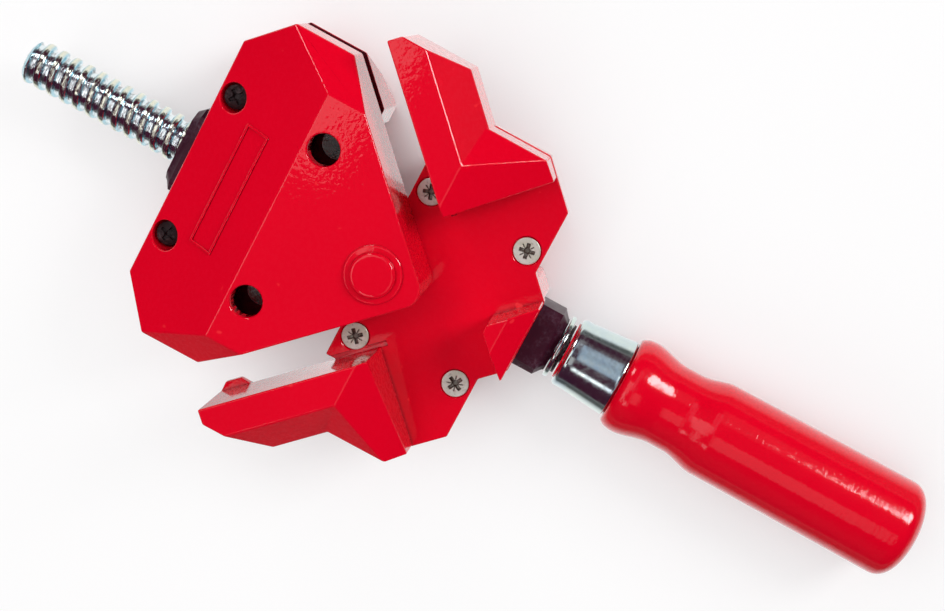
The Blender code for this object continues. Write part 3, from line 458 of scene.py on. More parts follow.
def halfWave(x0, r0, x1, r1, count):
    t = np.linspace(0.0, 1.0, count, endpoint=False)
    return np.stack([x0 + (x1 - x0) * t, r0 + (r1 - r0) * (1 - np.cos(np.pi * t)) / 2], axis=1)


def makeHandle():
    h = handleShape
    easeLength, easeHeight = h["tenonEase"]
    inside = np.array([
        (h["boreEnd"], 0.0), (h["boreEnd"], h["boreRadius"]), (h["front"], h["boreRadius"]),
        (h["front"], h["tenonFront"]), (h["front"] + h["tenonFlat"], h["tenonFront"]),
        (h["bodyFront"] - easeLength, h["tenonBack"]), (h["bodyFront"], h["tenonBack"] + easeHeight),
    ])
    around = np.linspace(-np.pi / 2, 0.0, 14)[:-1]
    shoulder = np.stack([
        h["bulgeAt"] + (h["bulgeAt"] - h["bodyFront"]) * np.sin(around),
        h["shoulder"] + (h["bulge"] - h["shoulder"]) * np.cos(around),
    ], axis=1)
    swell = halfWave(h["bulgeAt"], h["bulge"], h["waistAt"], h["waist"], 26)
    rise = halfWave(h["waistEnd"], h["waist"], h["gripAt"], h["grip"], 26)
    gripEnd = h["end"] - h["dome"]
    grip = np.linspace((h["gripAt"], h["grip"]), (gripEnd, h["endRadius"]), 40, endpoint=False)
    around = np.linspace(0.0, np.pi / 2, 30)
    dome = np.stack([
        gripEnd + h["dome"] * np.sin(around) ** (2 / h["square"]),
        h["endRadius"] * np.cos(around) ** (2 / h["square"]),
    ], axis=1)
    profile = np.concatenate([inside, shoulder, swell, rise, grip, dome])
    profile[-1, 1] = 0.0
    putSurface("redHandle", [turnedGrid(profile, h["steps"])], redLacquer, "spindle", "handle", 50.0)


# Ferrule: a tapered sleeve with a rolled front lip and a faint bead at the back, as (x, radius, rounding)

ferruleShape = [
    (24.1, 8.7, 0.15), (24.1, 9.7, 0.45), (25.0, 10.25, 0.6), (27.0, 10.15, 1.2), (39.6, 11.3, 0.6),
    (40.2, 11.42, 0.3), (40.7, 11.2, 0.2), (40.7, 10.5, 0.2), (24.9, 8.75, 0.3),
]
washerShape = {"bore": 5.3, "innerEdge": 0.1, "outerEdge": 0.35}


def makeWasher(name, front, back, radius, steps, replaced):
    bore, inner, outer = washerShape.values()
    corners = [(front, bore, inner), (back, bore, inner), (back, radius, outer), (front, radius, outer)]
    makeTurned(name, corners, steps, replaced)


# Retaining ring: a rectangular section with rounded edges carried round an open arc, capped at both ends

ringShape = {"front": 22.5, "back": 23.2, "inner": 4.7, "outer": 7.4, "edge": 0.12, "gap": 40.0, "steps": 80}


def makeRetainingRing():
    front, back, inner, outer, edge, gap, steps = ringShape.values()
    corners = [(front, inner, edge), (back, inner, edge), (back, outer, edge), (front, outer, edge)]
    profile = closeLoop(roundCorners(corners))
    angle = np.linspace(0.0, 2 * np.pi - math.radians(gap), steps)
    x = np.repeat(profile[:, :1], steps, axis=1)
    points = roundSpindle(x, profile[:, 1:2], angle)
    parts = [(points, False)]
    for column in (0, -1):
        rim = points[:, column][None]
        middle = np.broadcast_to(rim[:, :-1].mean(axis=1, keepdims=True), rim.shape)
        parts.append((np.concatenate([rim, middle]), False))
    putSurface("retainingRing", parts, blackSteel, "spindle", "snap_ring")


# Pins: turned with rounded ends, standing upright between low and high

pinShape = {"radius": 3.0, "edge": 0.5, "steps": 48}


def makePin(name, x, low, high, body, replaced):
    radius, edge, steps = pinShape.values()
    profile = roundCorners([(0.0, low, 0.0), (radius, low, edge), (radius, high, edge), (0.0, high, 0.0)])
    points, wraps = uprightGrid(profile, x, 0.0, steps=steps)
    putSurface(name, [(points * mm, wraps)], brightSteel, body, replaced)


# Spindle: the thread is a grid sheared with the helix. A point's distance from the axis comes from its place
# within one pitch: root, rising flank, rounded crest, falling flank. Both ends are trimmed by a cone.

spindleShape = {
    "pitch": 4.0, "root": 5.2, "crest": 6.5, "start": -144.8, "end": -2.9, "chamfer": 1.2,
    "rootShare": 0.30, "flankShare": 0.17, "around": 56,
    "crown": 0.12, "crownFrom": 0.47, "crownShare": 0.36,
    "shares": (
        0.0, 0.10, 0.20, 0.30, 0.335, 0.385, 0.435, 0.47, 0.53, 0.60, 0.68, 0.77, 0.83, 0.865, 0.915, 0.965,
    ),
}
journal, groove, tang = 5.0, 4.4, 4.0
# Corners of the plain end, as (x, radius, rounding)
shankShape = [
    (-4.0, 0.0, 0.0), (-4.0, journal, 0.1), (22.35, journal, 0.2), (22.35, groove, 0.1), (23.35, groove, 0.1),
    (23.35, tang, 0.1), (94.0, tang, 0.3), (96.0, 2.0, 0.3), (96.0, 0.0, 0.0),
]


def threadProfile(share, s):
    # Trapezium with softened corners, as a rolled thread has, from 0 at the root to 1 at the crest
    rise = np.clip((share - s["rootShare"]) / s["flankShare"], 0.0, 1.0)
    fall = np.clip((1.0 - share) / s["flankShare"], 0.0, 1.0)
    level = np.minimum(rise, fall)
    return level * level * (3 - 2 * level) * 0.5 + level * 0.5


def makeSpindle():
    s = spindleShape
    first = math.floor(s["start"] / s["pitch"]) - 2
    turns = math.ceil((s["end"] - s["start"]) / s["pitch"]) + 4
    turnNumber = np.repeat(np.arange(first, first + turns), len(s["shares"]))
    share = np.tile(s["shares"], turns)
    lead = np.arange(s["around"] + 1) / s["around"]
    x = s["pitch"] * ((turnNumber + share)[:, None] + lead[None, :])
    # The crest is a low arch that rises from its edges
    along = (share - s["crownFrom"]) / s["crownShare"]
    onCrest = (along > -0.02) & (along < 1.02)
    arch = s["crown"] * (np.sin(np.pi * np.clip(along, 0, 1)) - onCrest)
    radius = s["root"] + (s["crest"] - s["root"]) * threadProfile(share, s) + arch
    fromEnd = np.minimum(x - s["start"], s["end"] - x)
    coneRadius = s["crest"] - s["chamfer"] + np.maximum(fromEnd, 0.0)
    beyond = np.clip(-fromEnd, 0.0, s["pitch"]) / s["pitch"]
    radius = np.minimum(radius[:, None], coneRadius) * (1.0 - beyond)
    thread = (roundSpindle(np.clip(x, s["start"], s["end"]), radius, 2 * np.pi * lead), False)
    shank = turnedGrid(roundCorners(shankShape), 64)
    putSurface("zincSpindle", [thread, shank], zincThread, "spindle", "spindle", 42.0)


# Countersunk and pan screws. The head is a height over a polar grid: the flat or domed top,
# less a cross whose four wings taper inwards and whose walls slope.

screwShape = {
    "rings": 26, "around": 96, "wingReach": 2.15, "wingHalf": 0.46, "depth": 1.45, "core": 0.95,
    "wingRun": 0.14, "tipRun": 0.18, "coreRun": 0.22,
    "tick": (0.13, 0.06, 0.9, 2.35, 0.15, 0.28),  # half width, its run, start, end, fade and depth of a fine ray
    "pitch": 0.7, "ridge": 0.16,
}
coverScrew = {
    "top": 24.9, "edge": 3.75, "dome": 0.0, "ticked": True, "material": zincScrew, "body": "base",
    "slot": "zinc_plate",
    "flank": [(3.66, 24.88), (3.75, 24.80), (3.75, 24.62), (2.0, 22.85)], "shank": (22.6, 8.0, 2.0),
    "places": [(-29.5, 22.9), (-29.5, -22.9), (1.0, 21.2), (1.0, -21.2)], "turns": (0.35, 0.72, 0.2, 1.1),
}
rearScrew = {
    "top": 29.55, "edge": 3.5, "dome": 0.75, "ticked": False, "material": blackSteel, "body": "block",
    "slot": "black_steel",
    "flank": [(3.35, 29.25), (3.47, 28.9), (3.5, 28.4), (3.5, 27.8), (3.4, 27.7), (2.0, 27.7)],
    "shank": (27.5, 9.7, 2.0),
    "places": [(-86.8, 21.1), (-86.8, -21.1)], "turns": (0.9, 1.3),
}


def softStep(inside, run):
    # 0 outside, 1 inside, and a slope of this run across the edge
    return np.clip(inside / run + 0.5, 0, 1)


def crossDepth(radius, angle, ticked):
    # Depth of the driver's cross at a polar place. It is deep in the wings, deepest at the core
    s = screwShape
    wing = np.abs(((angle + np.pi / 4) % (np.pi / 2)) - np.pi / 4)
    across = np.abs(radius * np.sin(wing))
    along = radius * np.cos(wing)
    inWing = softStep(s["wingHalf"] - across, s["wingRun"]) * softStep(s["wingReach"] - along, s["tipRun"])
    inCore = softStep(s["core"] - radius, s["coreRun"])
    fall = np.clip(1 - radius / (s["wingReach"] + 0.2), 0, 1)
    depth = np.maximum(inWing * (0.45 + 0.55 * fall), inCore) * s["depth"]
    if ticked:
        # Four fine rays between the wings
        halfWidth, run, start, end, fade, deep = s["tick"]
        ray = np.abs((angle % (np.pi / 2)) - np.pi / 4)
        fine = softStep(halfWidth - np.abs(radius * np.sin(ray)), run)
        reach = np.clip((radius - start) / fade, 0, 1) * np.clip((end - radius) / fade, 0, 1)
        depth = np.maximum(depth, deep * fine * reach)
    return depth


def threadedShank(top, low, radius):
    # Small ridges down the shank, one for each turn of the thread
    s = screwShape
    z = np.linspace(top, low + 1.0, int((top - low - 1.2) / s["pitch"]) * 4)
    ridge = radius - s["ridge"] * (0.5 + 0.5 * np.cos(2 * np.pi * (top - z) / s["pitch"]))
    return [*zip(ridge, z), (radius * 0.5, low), (0.0, low)]


def makeScrews(name, kind, replaced):
    s, edge = screwShape, kind["edge"]
    radii = np.concatenate([np.linspace(0.0, 2.5, s["rings"]), np.linspace(2.6, edge * 0.93, 5)])
    angle = fullTurn(s["around"])
    r, a = np.meshgrid(radii, angle, indexing="ij")
    z = kind["top"] + kind["dome"] * (1 - (r / edge) ** 2) - crossDepth(r, a, kind["ticked"])
    side = np.repeat(np.array(kind["flank"] + threadedShank(*kind["shank"]))[:, None], s["around"], axis=1)
    radius, height = np.concatenate([r, side[..., 0]]), np.concatenate([z, side[..., 1]])
    for number, ((x, y), turn) in enumerate(zip(kind["places"], kind["turns"]), start=1):
        across, up = radius * np.cos(angle + turn), radius * np.sin(angle + turn)
        points = np.stack([x + across, y + up, height], axis=-1) * mm
        putSurface(
            f"{name}{number}", [(points, True)], kind["material"], kind["body"],
            f"{replaced}_{number}", 40.0,
        )


# Bush and nut: a rounded rectangle carried along x, smaller at the chamfered end, with a bore through it.
# The loop has as many points as the bore, so the end faces are rings between the two.

barShapes = {
    "bush": {
        "ends": (-1.0, 20.7), "halfWidth": 9.5, "halfHeight": 7.5, "cut": 2.2, "frontCut": 1.9, "backCut": 0.0,
        "edge": 0.5, "around": 112, "boreRows": 6,
    },
    "nut": {
        "ends": (-96.7, -77.0), "halfWidth": 12.6, "halfHeight": 8.5, "cut": 2.4, "frontCut": 0.0, "backCut": 1.9,
        "edge": 0.5, "around": 112, "boreRows": 120, "play": 0.35,
    },
}


def roundedRectangle(halfWidth, halfHeight, cut, count):
    # The point at an angle is where a ray meets a rectangle with its corners cut at 45 degrees
    angle = fullTurn(count)
    c, s = np.abs(np.cos(angle)), np.abs(np.sin(angle))
    reach = 1.0 / np.maximum.reduce([c / halfWidth, s / halfHeight, (c + s) / (halfWidth + halfHeight - cut)])
    return angle, reach


def makeBar(name, bar, boreRadius, body, replaced):
    x0, x1 = bar["ends"]
    edge, count = bar["edge"], bar["around"]
    backCut, frontCut = bar["backCut"], bar["frontCut"]
    stations = [(x0, backCut + edge), (x0 + edge * 0.3, backCut + edge * 0.3), (x0 + edge, backCut)]
    if backCut:
        stations.append((x0 + edge + backCut, 0.0))
    if frontCut:
        stations.append((x1 - edge - frontCut, 0.0))
    stations += [(x1 - edge, frontCut), (x1 - edge * 0.3, frontCut + edge * 0.3), (x1, frontCut + edge)]
    rows = []
    for x, shrink in stations:
        angle, reach = roundedRectangle(bar["halfWidth"] - shrink, bar["halfHeight"] - shrink, bar["cut"], count)
        rows.append((np.full(count, x), reach))
    boreX = np.linspace(x1, x0, bar["boreRows"])
    for x, radius in zip(boreX, boreRadius(boreX[:, None], angle[None, :])):
        rows.append((np.full(count, x), radius))
    rows.append(rows[0])
    x, radius = (np.stack(values) for values in zip(*rows))
    putSurface(name, [(roundSpindle(x, radius, angle), True)], blackIron, body, replaced, 28.0)


def plainBore(x, angle):
    return washerShape["bore"] + 0.0 * x + 0.0 * angle


def nutThread(x, angle):
    # The spindle's profile moved along by the turn, and larger all round by the play
    s, play = spindleShape, barShapes["nut"]["play"]
    share = ((x - play) / s["pitch"] - angle / (2 * np.pi)) % 1.0
    widened = {"rootShare": s["rootShare"] - 2 * play / s["pitch"], "flankShare": s["flankShare"]}
    return s["root"] + play + (s["crest"] - s["root"]) * threadProfile(share, widened)


# Castings. Each outer form is a block cut by planes, with every edge rounded to the same radius.
# The forms are joined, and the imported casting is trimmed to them, so its hollow inside stays as it is.
# Everything here is in millimetres until the last step.

castingShape = {
    "skin": 0.02,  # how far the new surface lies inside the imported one
    "edgeWidth": 0.45, "bevelSteps": 5, "sharpFrom": 27.0,
    "topZ": 46.0,
    "merge": 0.002, "snap": 0.12,
}
half = math.sqrt(0.5)


def wall(x, y, distance):
    normal = Vector((x, y, 0.0)).normalized()
    return normal * distance, normal


def level(z, up=1.0):
    return Vector((0.0, 0.0, z)), Vector((0.0, 0.0, up))


def slope(x, y, distance, z, fall, up=1.0):
    # At height z at a distance along (x, y), and falling from there, or rising where it looks down
    normal = Vector((x, y, 0.0)).normalized()
    return normal * distance + Vector((0.0, 0.0, z)), (normal * fall + Vector((0.0, 0.0, up))).normalized()


def looseObject(name, bm):
    bmesh.ops.recalc_face_normals(bm, faces=bm.faces)
    mesh = bpy.data.meshes.new(name)
    bm.to_mesh(mesh)
    bm.free()
    return addToScene(name, mesh)


def addJoint(thing, operation, tool):
    joint = thing.modifiers.new("joint", "BOOLEAN")
    joint.operation, joint.object, joint.solver = operation, tool, "EXACT"


def shapedMesh(thing, tools):
    # Applies the modifiers, and deletes the loose objects that made the mesh
    mesh = bpy.data.meshes.new_from_object(thing.evaluated_get(bpy.context.evaluated_depsgraph_get()))
    for spent in [thing] + tools:
        bpy.data.objects.remove(spent)
    return mesh


def roundEdges(bm, width, blunt=14.0):
    # The same width comes off both faces of every edge, so blunt edges get the larger radius
    weights = bm.edges.layers.float.new("bevel_weight_edge")
    for edge in bm.edges:
        if edge.calc_face_angle(0.0) > math.radians(blunt):
            edge[weights] = 1.0
    thing = looseObject("roundedForm", bm)
    bevel = thing.modifiers.new("roundedEdges", "BEVEL")
    bevel.width, bevel.segments, bevel.limit_method = width, castingShape["bevelSteps"], "WEIGHT"
    bevel.use_clamp_overlap = False
    bevel.miter_outer = "MITER_SHARP"
    return thing


def planeBlock(planes):
    bm = bmesh.new()
    bmesh.ops.create_cube(bm, size=400.0)
    for point, normal in planes:
        cut = bmesh.ops.bisect_plane(
            bm, geom=bm.verts[:] + bm.edges[:] + bm.faces[:], plane_co=point - normal * castingShape["skin"],
            plane_no=normal, clear_outer=True, dist=castingShape["snap"],
        )
        rim = [e for e in cut["geom_cut"] if isinstance(e, bmesh.types.BMEdge)]
        if rim:
            bmesh.ops.contextual_create(bm, geom=rim)
    bmesh.ops.recalc_face_normals(bm, faces=bm.faces)
    return bm


def planeForm(planes, width=castingShape["edgeWidth"]):
    return roundEdges(planeBlock(planes), width)


def joinedForm(first, second):
    # Two blocks become one before their edges are rounded, so shared faces stay whole
    base, tool = looseObject("firstBlock", first), looseObject("secondBlock", second)
    addJoint(base, "UNION", tool)
    bm = readMesh(shapedMesh(base, [tool]))
    bmesh.ops.remove_doubles(bm, verts=bm.verts, dist=0.15)
    bmesh.ops.dissolve_limit(bm, angle_limit=math.radians(1.0), verts=bm.verts, edges=bm.edges)
    return roundEdges(bm, castingShape["edgeWidth"])


def moveOutline(outline, inset):
    # Each side of the outline moves in by the inset, and neighbours meet again where they cross
    points = np.asarray(outline, float)
    along = np.roll(points, -1, axis=0) - points
    along /= np.linalg.norm(along, axis=1)[:, None]
    area = np.sum(points[:, 0] * np.roll(points[:, 1], -1) - points[:, 1] * np.roll(points[:, 0], -1))
    inward = np.stack([-along[:, 1], along[:, 0]], axis=1) * np.sign(area)
    before = np.roll(inward, 1, axis=0)
    share = 1.0 + np.sum(inward * before, axis=1)
    return points + (inward + before) * (inset / share)[:, None]


def outlineForm(outline, low, high, width):
    skin = castingShape["skin"]
    bm = bmesh.new()
    floor = bm.faces.new([bm.verts.new((x, y, low + skin)) for x, y in moveOutline(outline, skin)])
    lifted = bmesh.ops.extrude_face_region(bm, geom=[floor])
    top = [v for v in lifted["geom"] if isinstance(v, bmesh.types.BMVert)]
    bmesh.ops.translate(bm, verts=top, vec=(0.0, 0.0, high - low - 2 * skin))
    bmesh.ops.recalc_face_normals(bm, faces=bm.faces)
    return roundEdges(bm, width)


def turnedForm(*place, **options):
    return addToScene("turnedForm", gridMesh("turnedForm", [uprightGrid(*place, **options)], 1e-4))


def packedCopy(node, additions):
    bm = readMesh(nodes[node].data)
    bmesh.ops.scale(bm, vec=(1 / mm, 1 / mm, 1 / mm), verts=bm.verts)
    bmesh.ops.remove_doubles(bm, verts=bm.verts, dist=castingShape["merge"])
    copy = looseObject("packedCopy", bm)
    for addition in additions:
        addJoint(copy, "UNION", addition)
    return copy


def finishCasting(name, node, body, forms, cutters=(), additions=()):
    # Join the forms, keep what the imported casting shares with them, then cut the fine openings
    steps = [("UNION", form) for form in forms[1:]] + [("INTERSECT", packedCopy(node, additions))]
    steps += [("DIFFERENCE", cutter) for cutter in cutters]
    for operation, tool in steps:
        addJoint(forms[0], operation, tool)
    mesh = shapedMesh(forms[0], [tool for operation, tool in steps] + list(additions))
    bm = readMesh(mesh)
    bmesh.ops.remove_doubles(bm, verts=bm.verts, dist=castingShape["merge"])
    bmesh.ops.dissolve_degenerate(bm, edges=bm.edges, dist=castingShape["merge"])
    bmesh.ops.holes_fill(bm, edges=[e for e in bm.edges if e.is_boundary], sides=0)
    opened = sum(1 for e in bm.edges if len(e.link_faces) != 2)
    bmesh.ops.scale(bm, vec=(mm, mm, mm), verts=bm.verts)
    bm.to_mesh(mesh)
    bm.free()
    mesh.name = name
    mesh.materials.clear()
    piece = putPiece(name, mesh, redEnamel, body, node, castingShape["sharpFrom"])
    even = piece.modifiers.new("evenNormals", "WEIGHTED_NORMAL")
    even.mode, even.weight, even.keep_sharp = "FACE_AREA", 100, True
    print(name, len(mesh.polygons), "faces,", opened, "open edges")


def otherSide(form):
    # The same form mirrored across the spindle's line
    bm = readMesh(form.data)
    bmesh.ops.scale(bm, vec=(1.0, -1.0, 1.0), verts=bm.verts)
    bmesh.ops.reverse_faces(bm, faces=bm.faces)
    twin = form.copy()
    twin.data = form.data.copy()
    bm.to_mesh(twin.data)
    bm.free()
    scene.collection.objects.link(twin)
    return twin


# Base: the plate, the two jaws with a ledge at each foot, and the nose over the bush

baseShape = {
    "plateTop": 25.0, "plateBottom": 22.0, "plateEdge": 0.42,
    "halfPlan": [
        (12.0, 11.0), (6.0, 17.0), (6.0, 35.8), (-5.5, 47.3), (-22.7, 47.3), (-23.9, 36.5), (-23.9, 31.4),
        (-34.4, 31.4),
    ],
    "jawLength": 78.7, "jawWidth": 17.2, "jawStart": 31.0, "jawEndY": 58.6, "jawDrop": 10.4,
    "rootY": 47.3, "rootBandY": 36.5, "rootBackX": -34.4, "rootDrop": 9.9, "ridgeX": -23.9,
    "ridgeFall": 12.0 / 22.4, "plateSum": 41.8, "inside": 0.2,
    "ledge": [(-4.35, 1.7), (-4.35, 0.0), (-2.25, -2.2), (2.25, -2.2), (4.35, 0.0), (4.35, 1.7)],
    "ledgeBack": 4.8, "ledgeLow": 22.3, "ledgeTop": 24.7, "ledgeEdge": 0.4,
    "nose": (1.1, 11.7, 40.0, 23.5, 5.6, 3.4 / 6.4),  # back, front, top, bottom, and the ridge with its fall
    # The seat of a cover screw, as (radius, height)
    "seat": [
        (0.0, 30.0), (4.35, 30.0), (4.35, 25.05), (4.16, 24.9), (4.07, 24.75), (4.07, 24.57), (2.32, 22.82),
        (2.32, 20.0), (0.0, 20.0),
    ],
}


def jawBlocks():
    b, top = baseShape, castingShape["topZ"]
    start, fence = wall(1, 1, -b["jawStart"]), wall(-1, 1, 0.0)
    fall = slope(1, 0, b["ridgeX"], top, b["ridgeFall"])
    below = level(b["plateBottom"] - 1.0, -1.0)
    band = (b["ridgeX"] + b["rootBandY"]) * half  # its edge meets the ridge and the root's edge in one point
    tip = planeBlock([
        fence, wall(1, -1, b["jawWidth"]), wall(-1, -1, b["jawLength"]), start, wall(0, -1, b["jawEndY"]),
        level(top), slope(1, -1, band, top, b["jawDrop"] / (b["jawWidth"] - band)), fall, below,
    ])
    root = planeBlock([
        fence, wall(1, -1, b["plateSum"] * half - b["inside"]), start,
        wall(-1, 0, -b["rootBackX"]), wall(0, -1, b["rootY"] - b["inside"]), level(top),
        slope(0, -1, b["rootBandY"], top, b["rootDrop"] / (b["rootY"] - b["rootBandY"])), fall, below,
    ])
    return tip, root


def upperBaseForms():
    b = baseShape
    plan = b["halfPlan"] + [(x, -y) for x, y in reversed(b["halfPlan"])]
    jaw = joinedForm(*jawBlocks())
    forms = [outlineForm(plan, b["plateBottom"] - 1.0, b["plateTop"], b["plateEdge"]), jaw, otherSide(jaw)]
    for side in (1, -1):
        ledge = []
        for step, outward in b["ledge"]:
            along = b["jawLength"] - b["ledgeBack"] + step
            ledge.append(((outward - along) * half, side * (outward + along) * half))
        forms.append(outlineForm(ledge, b["ledgeLow"], b["ledgeTop"], b["ledgeEdge"]))
    back, front, top, low, ridge, fall = b["nose"]
    forms.append(planeForm([
        wall(-1, 1, 0.0), wall(-1, -1, 0.0), wall(1, 0, front), wall(-1, 0, -back),
        level(top), slope(1, 0, ridge, top, fall), level(low, -1.0),
    ], b["plateEdge"]))
    return forms


# The lower casting, as its back, front, half width and the sum that cuts its corners

coverShapes = [(-32.0, 3.6, 33.0, 38.6), (-1.0, 11.4, 14.6, 21.8)]
coverTop = 21.7


def lowerBaseForms():
    return [planeForm([
        wall(-1, 0, -back), wall(1, 0, front), wall(0, 1, side), wall(0, -1, side),
        wall(1, 1, corner * half), wall(1, -1, corner * half), level(coverTop), level(0.0, -1.0),
    ]) for back, front, side, corner in coverShapes]


# Sliding block: its upper half with the round boss, the raised frame and the holes

blockShape = {
    "flatX": -62.9, "fall": 0.535, "sideY": 47.2, "flatY": 36.3, "endDrop": 9.6,
    "backX": -91.6, "backY": 35.5, "tipX": -15.6, "tipRadius": 5.2, "tipSteps": 14,
    "partingTop": 25.6, "partingLow": 20.4,  # the open slit between the halves
    "bossX": -31.0,
    "boss": [
        (0.0, 44.5), (7.93, 44.5), (7.93, 46.25), (7.86, 46.48), (7.66, 46.62), (7.4, 46.68),
        (6.55, 46.69), (6.2, 46.74), (6.09, 46.9), (6.09, 47.35), (6.0, 47.68), (5.78, 47.92), (5.4, 48.04),
        (4.9, 48.07), (3.0, 48.08), (0.0, 48.08),
    ],
    "frame": (-79.5, -72.1, 17.8, 0.7),  # back, front, half length and line width
    "frameRise": 0.4, "frameLow": 30.0, "frameEdge": 0.22,
    "boltX": -57.3, "boltY": 22.8,
    "boltHole": [
        (0.0, 50.0), (5.0, 50.0), (4.86, 46.05), (4.62, 45.93), (4.44, 45.74), (4.35, 45.5), (4.33, 45.2),
        (4.33, 10.0), (0.0, 10.0),
    ],
    # A rear screw's counterbore: its rim follows the back slope, and its floor is flat
    "seatRim": [(0.0, 8.0), (4.5, 8.0), (4.5, 0.05), (4.3, -0.05), (4.12, -0.22), (4.03, -0.5), (4.02, -0.8)],
    "seatFloor": [(4.02, 27.38), (0.0, 27.38)],
}


def blockOutline(front, side, back):
    # The upright faces of the block, each set in by its own amount
    b = blockShape
    places = ((1, b["tipX"] * half - front), (0, b["sideY"] - side), (-1, (b["backY"] - b["backX"]) * half - side))
    return [wall(-1, 0, -b["backX"] - back)] + [wall(x, y, place) for y in (1, -1) for x, place in places]


def blockBody():
    b, top = blockShape, castingShape["topZ"]
    endFall = b["endDrop"] / (b["sideY"] - b["flatY"])
    back, *sides = blockOutline(0.0, 0.0, 0.0)
    # The order of the cuts settles how the corners are mitred: front, side and back faces in pairs
    bm = planeBlock(sides[0::3] + sides[1::3] + sides[2::3] + [
        back, level(top), slope(-1, 0, -b["flatX"], top, b["fall"]), slope(0, 1, b["flatY"], top, endFall),
        slope(0, -1, b["flatY"], top, endFall), level(b["partingTop"], -1.0),
    ])
    tip = [e for e in bm.edges if all(v.co.x > b["tipX"] - 0.2 and abs(v.co.y) < 0.2 for v in e.verts)]
    bmesh.ops.bevel(
        bm, geom=tip, offset=b["tipRadius"], offset_type="OFFSET", segments=b["tipSteps"], profile=0.5,
        affect="EDGES",
    )
    return roundEdges(bm, castingShape["edgeWidth"])


def upperBlockForms():
    b = blockShape
    forms = [blockBody(), turnedForm(b["boss"], b["bossX"], 0.0, steps=96)]
    # Four thin bars with crowned tops lie on the back slope
    x0, x1, y1, line = b["frame"]
    rise = b["frameRise"] * math.hypot(1.0, b["fall"])
    for back, front, low, high in (
        (x0, x0 + line, -y1, y1), (x1 - line, x1, -y1, y1), (x0, x1, -y1, -y1 + line), (x0, x1, y1 - line, y1),
    ):
        forms.append(planeForm([
            wall(1, 0, front), wall(-1, 0, -back), wall(0, 1, high), wall(0, -1, -low),
            slope(-1, 0, -b["flatX"], castingShape["topZ"] + rise, b["fall"]), level(b["frameLow"], -1.0),
        ], b["frameEdge"]))
    return forms


def blockOpenings():
    b = blockShape
    openings = [turnedForm(b["boltHole"], b["boltX"], side * b["boltY"]) for side in (1, -1)]
    for x, y in rearScrew["places"]:
        surface = castingShape["topZ"] + b["fall"] * (x - b["flatX"])
        rows = [(radius, surface + z) for radius, z in b["seatRim"]] + b["seatFloor"]
        lean = np.array([b["fall"]] * len(b["seatRim"]) + [0.0] * len(b["seatFloor"]))
        openings.append(turnedForm(rows, x, y, lean[:, None]))
    return openings


# Foot of the block. Each part is how far its front, side and back faces are set in, where it ends in front,
# its top and its bottom. Its ends rise from the bench in two slopes, as (place, height, fall).

footShape = {
    "foot": ((0.0, 0.0, 0.04), -51.5, blockShape["partingLow"], 0.06),
    "step": ((2.4, 1.9, 0.0), -51.54, 23.8, 12.0),
    "neck": ((4.4, 2.0, 2.0), -52.1, 28.6, 20.8),
    "neckEdge": 0.4,
    "ends": [(35.8, 0.9, 1.09), (42.7, 8.4, 2.4)],
    "rimOuter": ((-0.3, -0.3, -0.3), -51.0, 29.5, 24.0),
    "rimInner": ((1.9, 1.9, 1.9), -40.0, 33.0, 20.0),
    "sole": (-88.8, -52.5, 31.0, 14.0),  # back, front, half width and top
    "soleEdge": 0.5,
    "sideFront": -51.2, "sideInner": 30.5, "over": 0.3, "overHeight": 0.5,
    "slitLow": 19.8, "slitTop": 29.0,
}


def footPlanes(part, extra=()):
    inset, front, top, low = footShape[part]
    return blockOutline(*inset) + list(extra) + [wall(1, 0, front), level(top), level(low, -1.0)]


def partingRim():
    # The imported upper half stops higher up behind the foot's front. A rim brings its walls down to the slit
    outer, inner = (looseObject(part, planeBlock(footPlanes(part))) for part in ("rimOuter", "rimInner"))
    addJoint(outer, "DIFFERENCE", inner)
    return addToScene("partingRim", shapedMesh(outer, [inner]))


def footSide(side):
    # At both ends of the block the foot is as wide as the clamping faces and stands on the bench
    b, f = blockShape, footShape
    over, rise = f["over"], f["overHeight"]
    return looseObject("footSide", planeBlock([
        wall(1, side, b["tipX"] * half + over), wall(0, side, b["sideY"] + over),
        wall(-1, side, (b["backY"] - b["backX"]) * half + over), wall(0, -side, -f["sideInner"]),
        wall(1, 0, f["sideFront"]), wall(-1, 0, -f["sole"][0]), level(b["partingLow"] + rise), level(-rise, -1.0),
    ]))


def lowerBlockForms():
    f = footShape
    ends = [slope(0, side, *rise, -1.0) for side in (1, -1) for rise in f["ends"]]
    back, front, side, top = f["sole"]
    sole = planeForm([
        wall(-1, 0, -back), wall(1, 0, front), wall(0, 1, side), wall(0, -1, side), level(top), level(0.0, -1.0),
    ], f["soleEdge"])
    return [
        planeForm(footPlanes("foot", ends)), planeForm(footPlanes("step")),
        planeForm(footPlanes("neck"), f["neckEdge"]), sole,
    ]


def paintSlitShade(name):
    # The floor of the slit gets the dark coat, a painted shade
    mesh = bpy.data.objects[name].data
    mesh.materials.append(slitPaintedShade)
    normals, centres = np.empty((2, len(mesh.polygons) * 3))
    mesh.polygons.foreach_get("normal", normals)
    mesh.polygons.foreach_get("center", centres)
    faceUp, height = normals[2::3] > 0.5, centres[2::3] / mm
    inSlit = faceUp & (height > footShape["slitLow"]) & (height < footShape["slitTop"])
    mesh.polygons.foreach_set("material_index", inSlit.astype(int))


finishCasting(
    "upperBase", "base_top_shell", "base", upperBaseForms(),
    [turnedForm(baseShape["seat"], x, y) for x, y in coverScrew["places"]],
)
finishCasting("lowerBase", "base_bottom_shell", "base", lowerBaseForms())
finishCasting("upperBlock", "block_top_shell", "block", upperBlockForms(), blockOpenings(), [partingRim()])
finishCasting(
    "lowerBlock", "block_bottom_shell", "block", lowerBlockForms(), additions=[footSide(1), footSide(-1)],
)
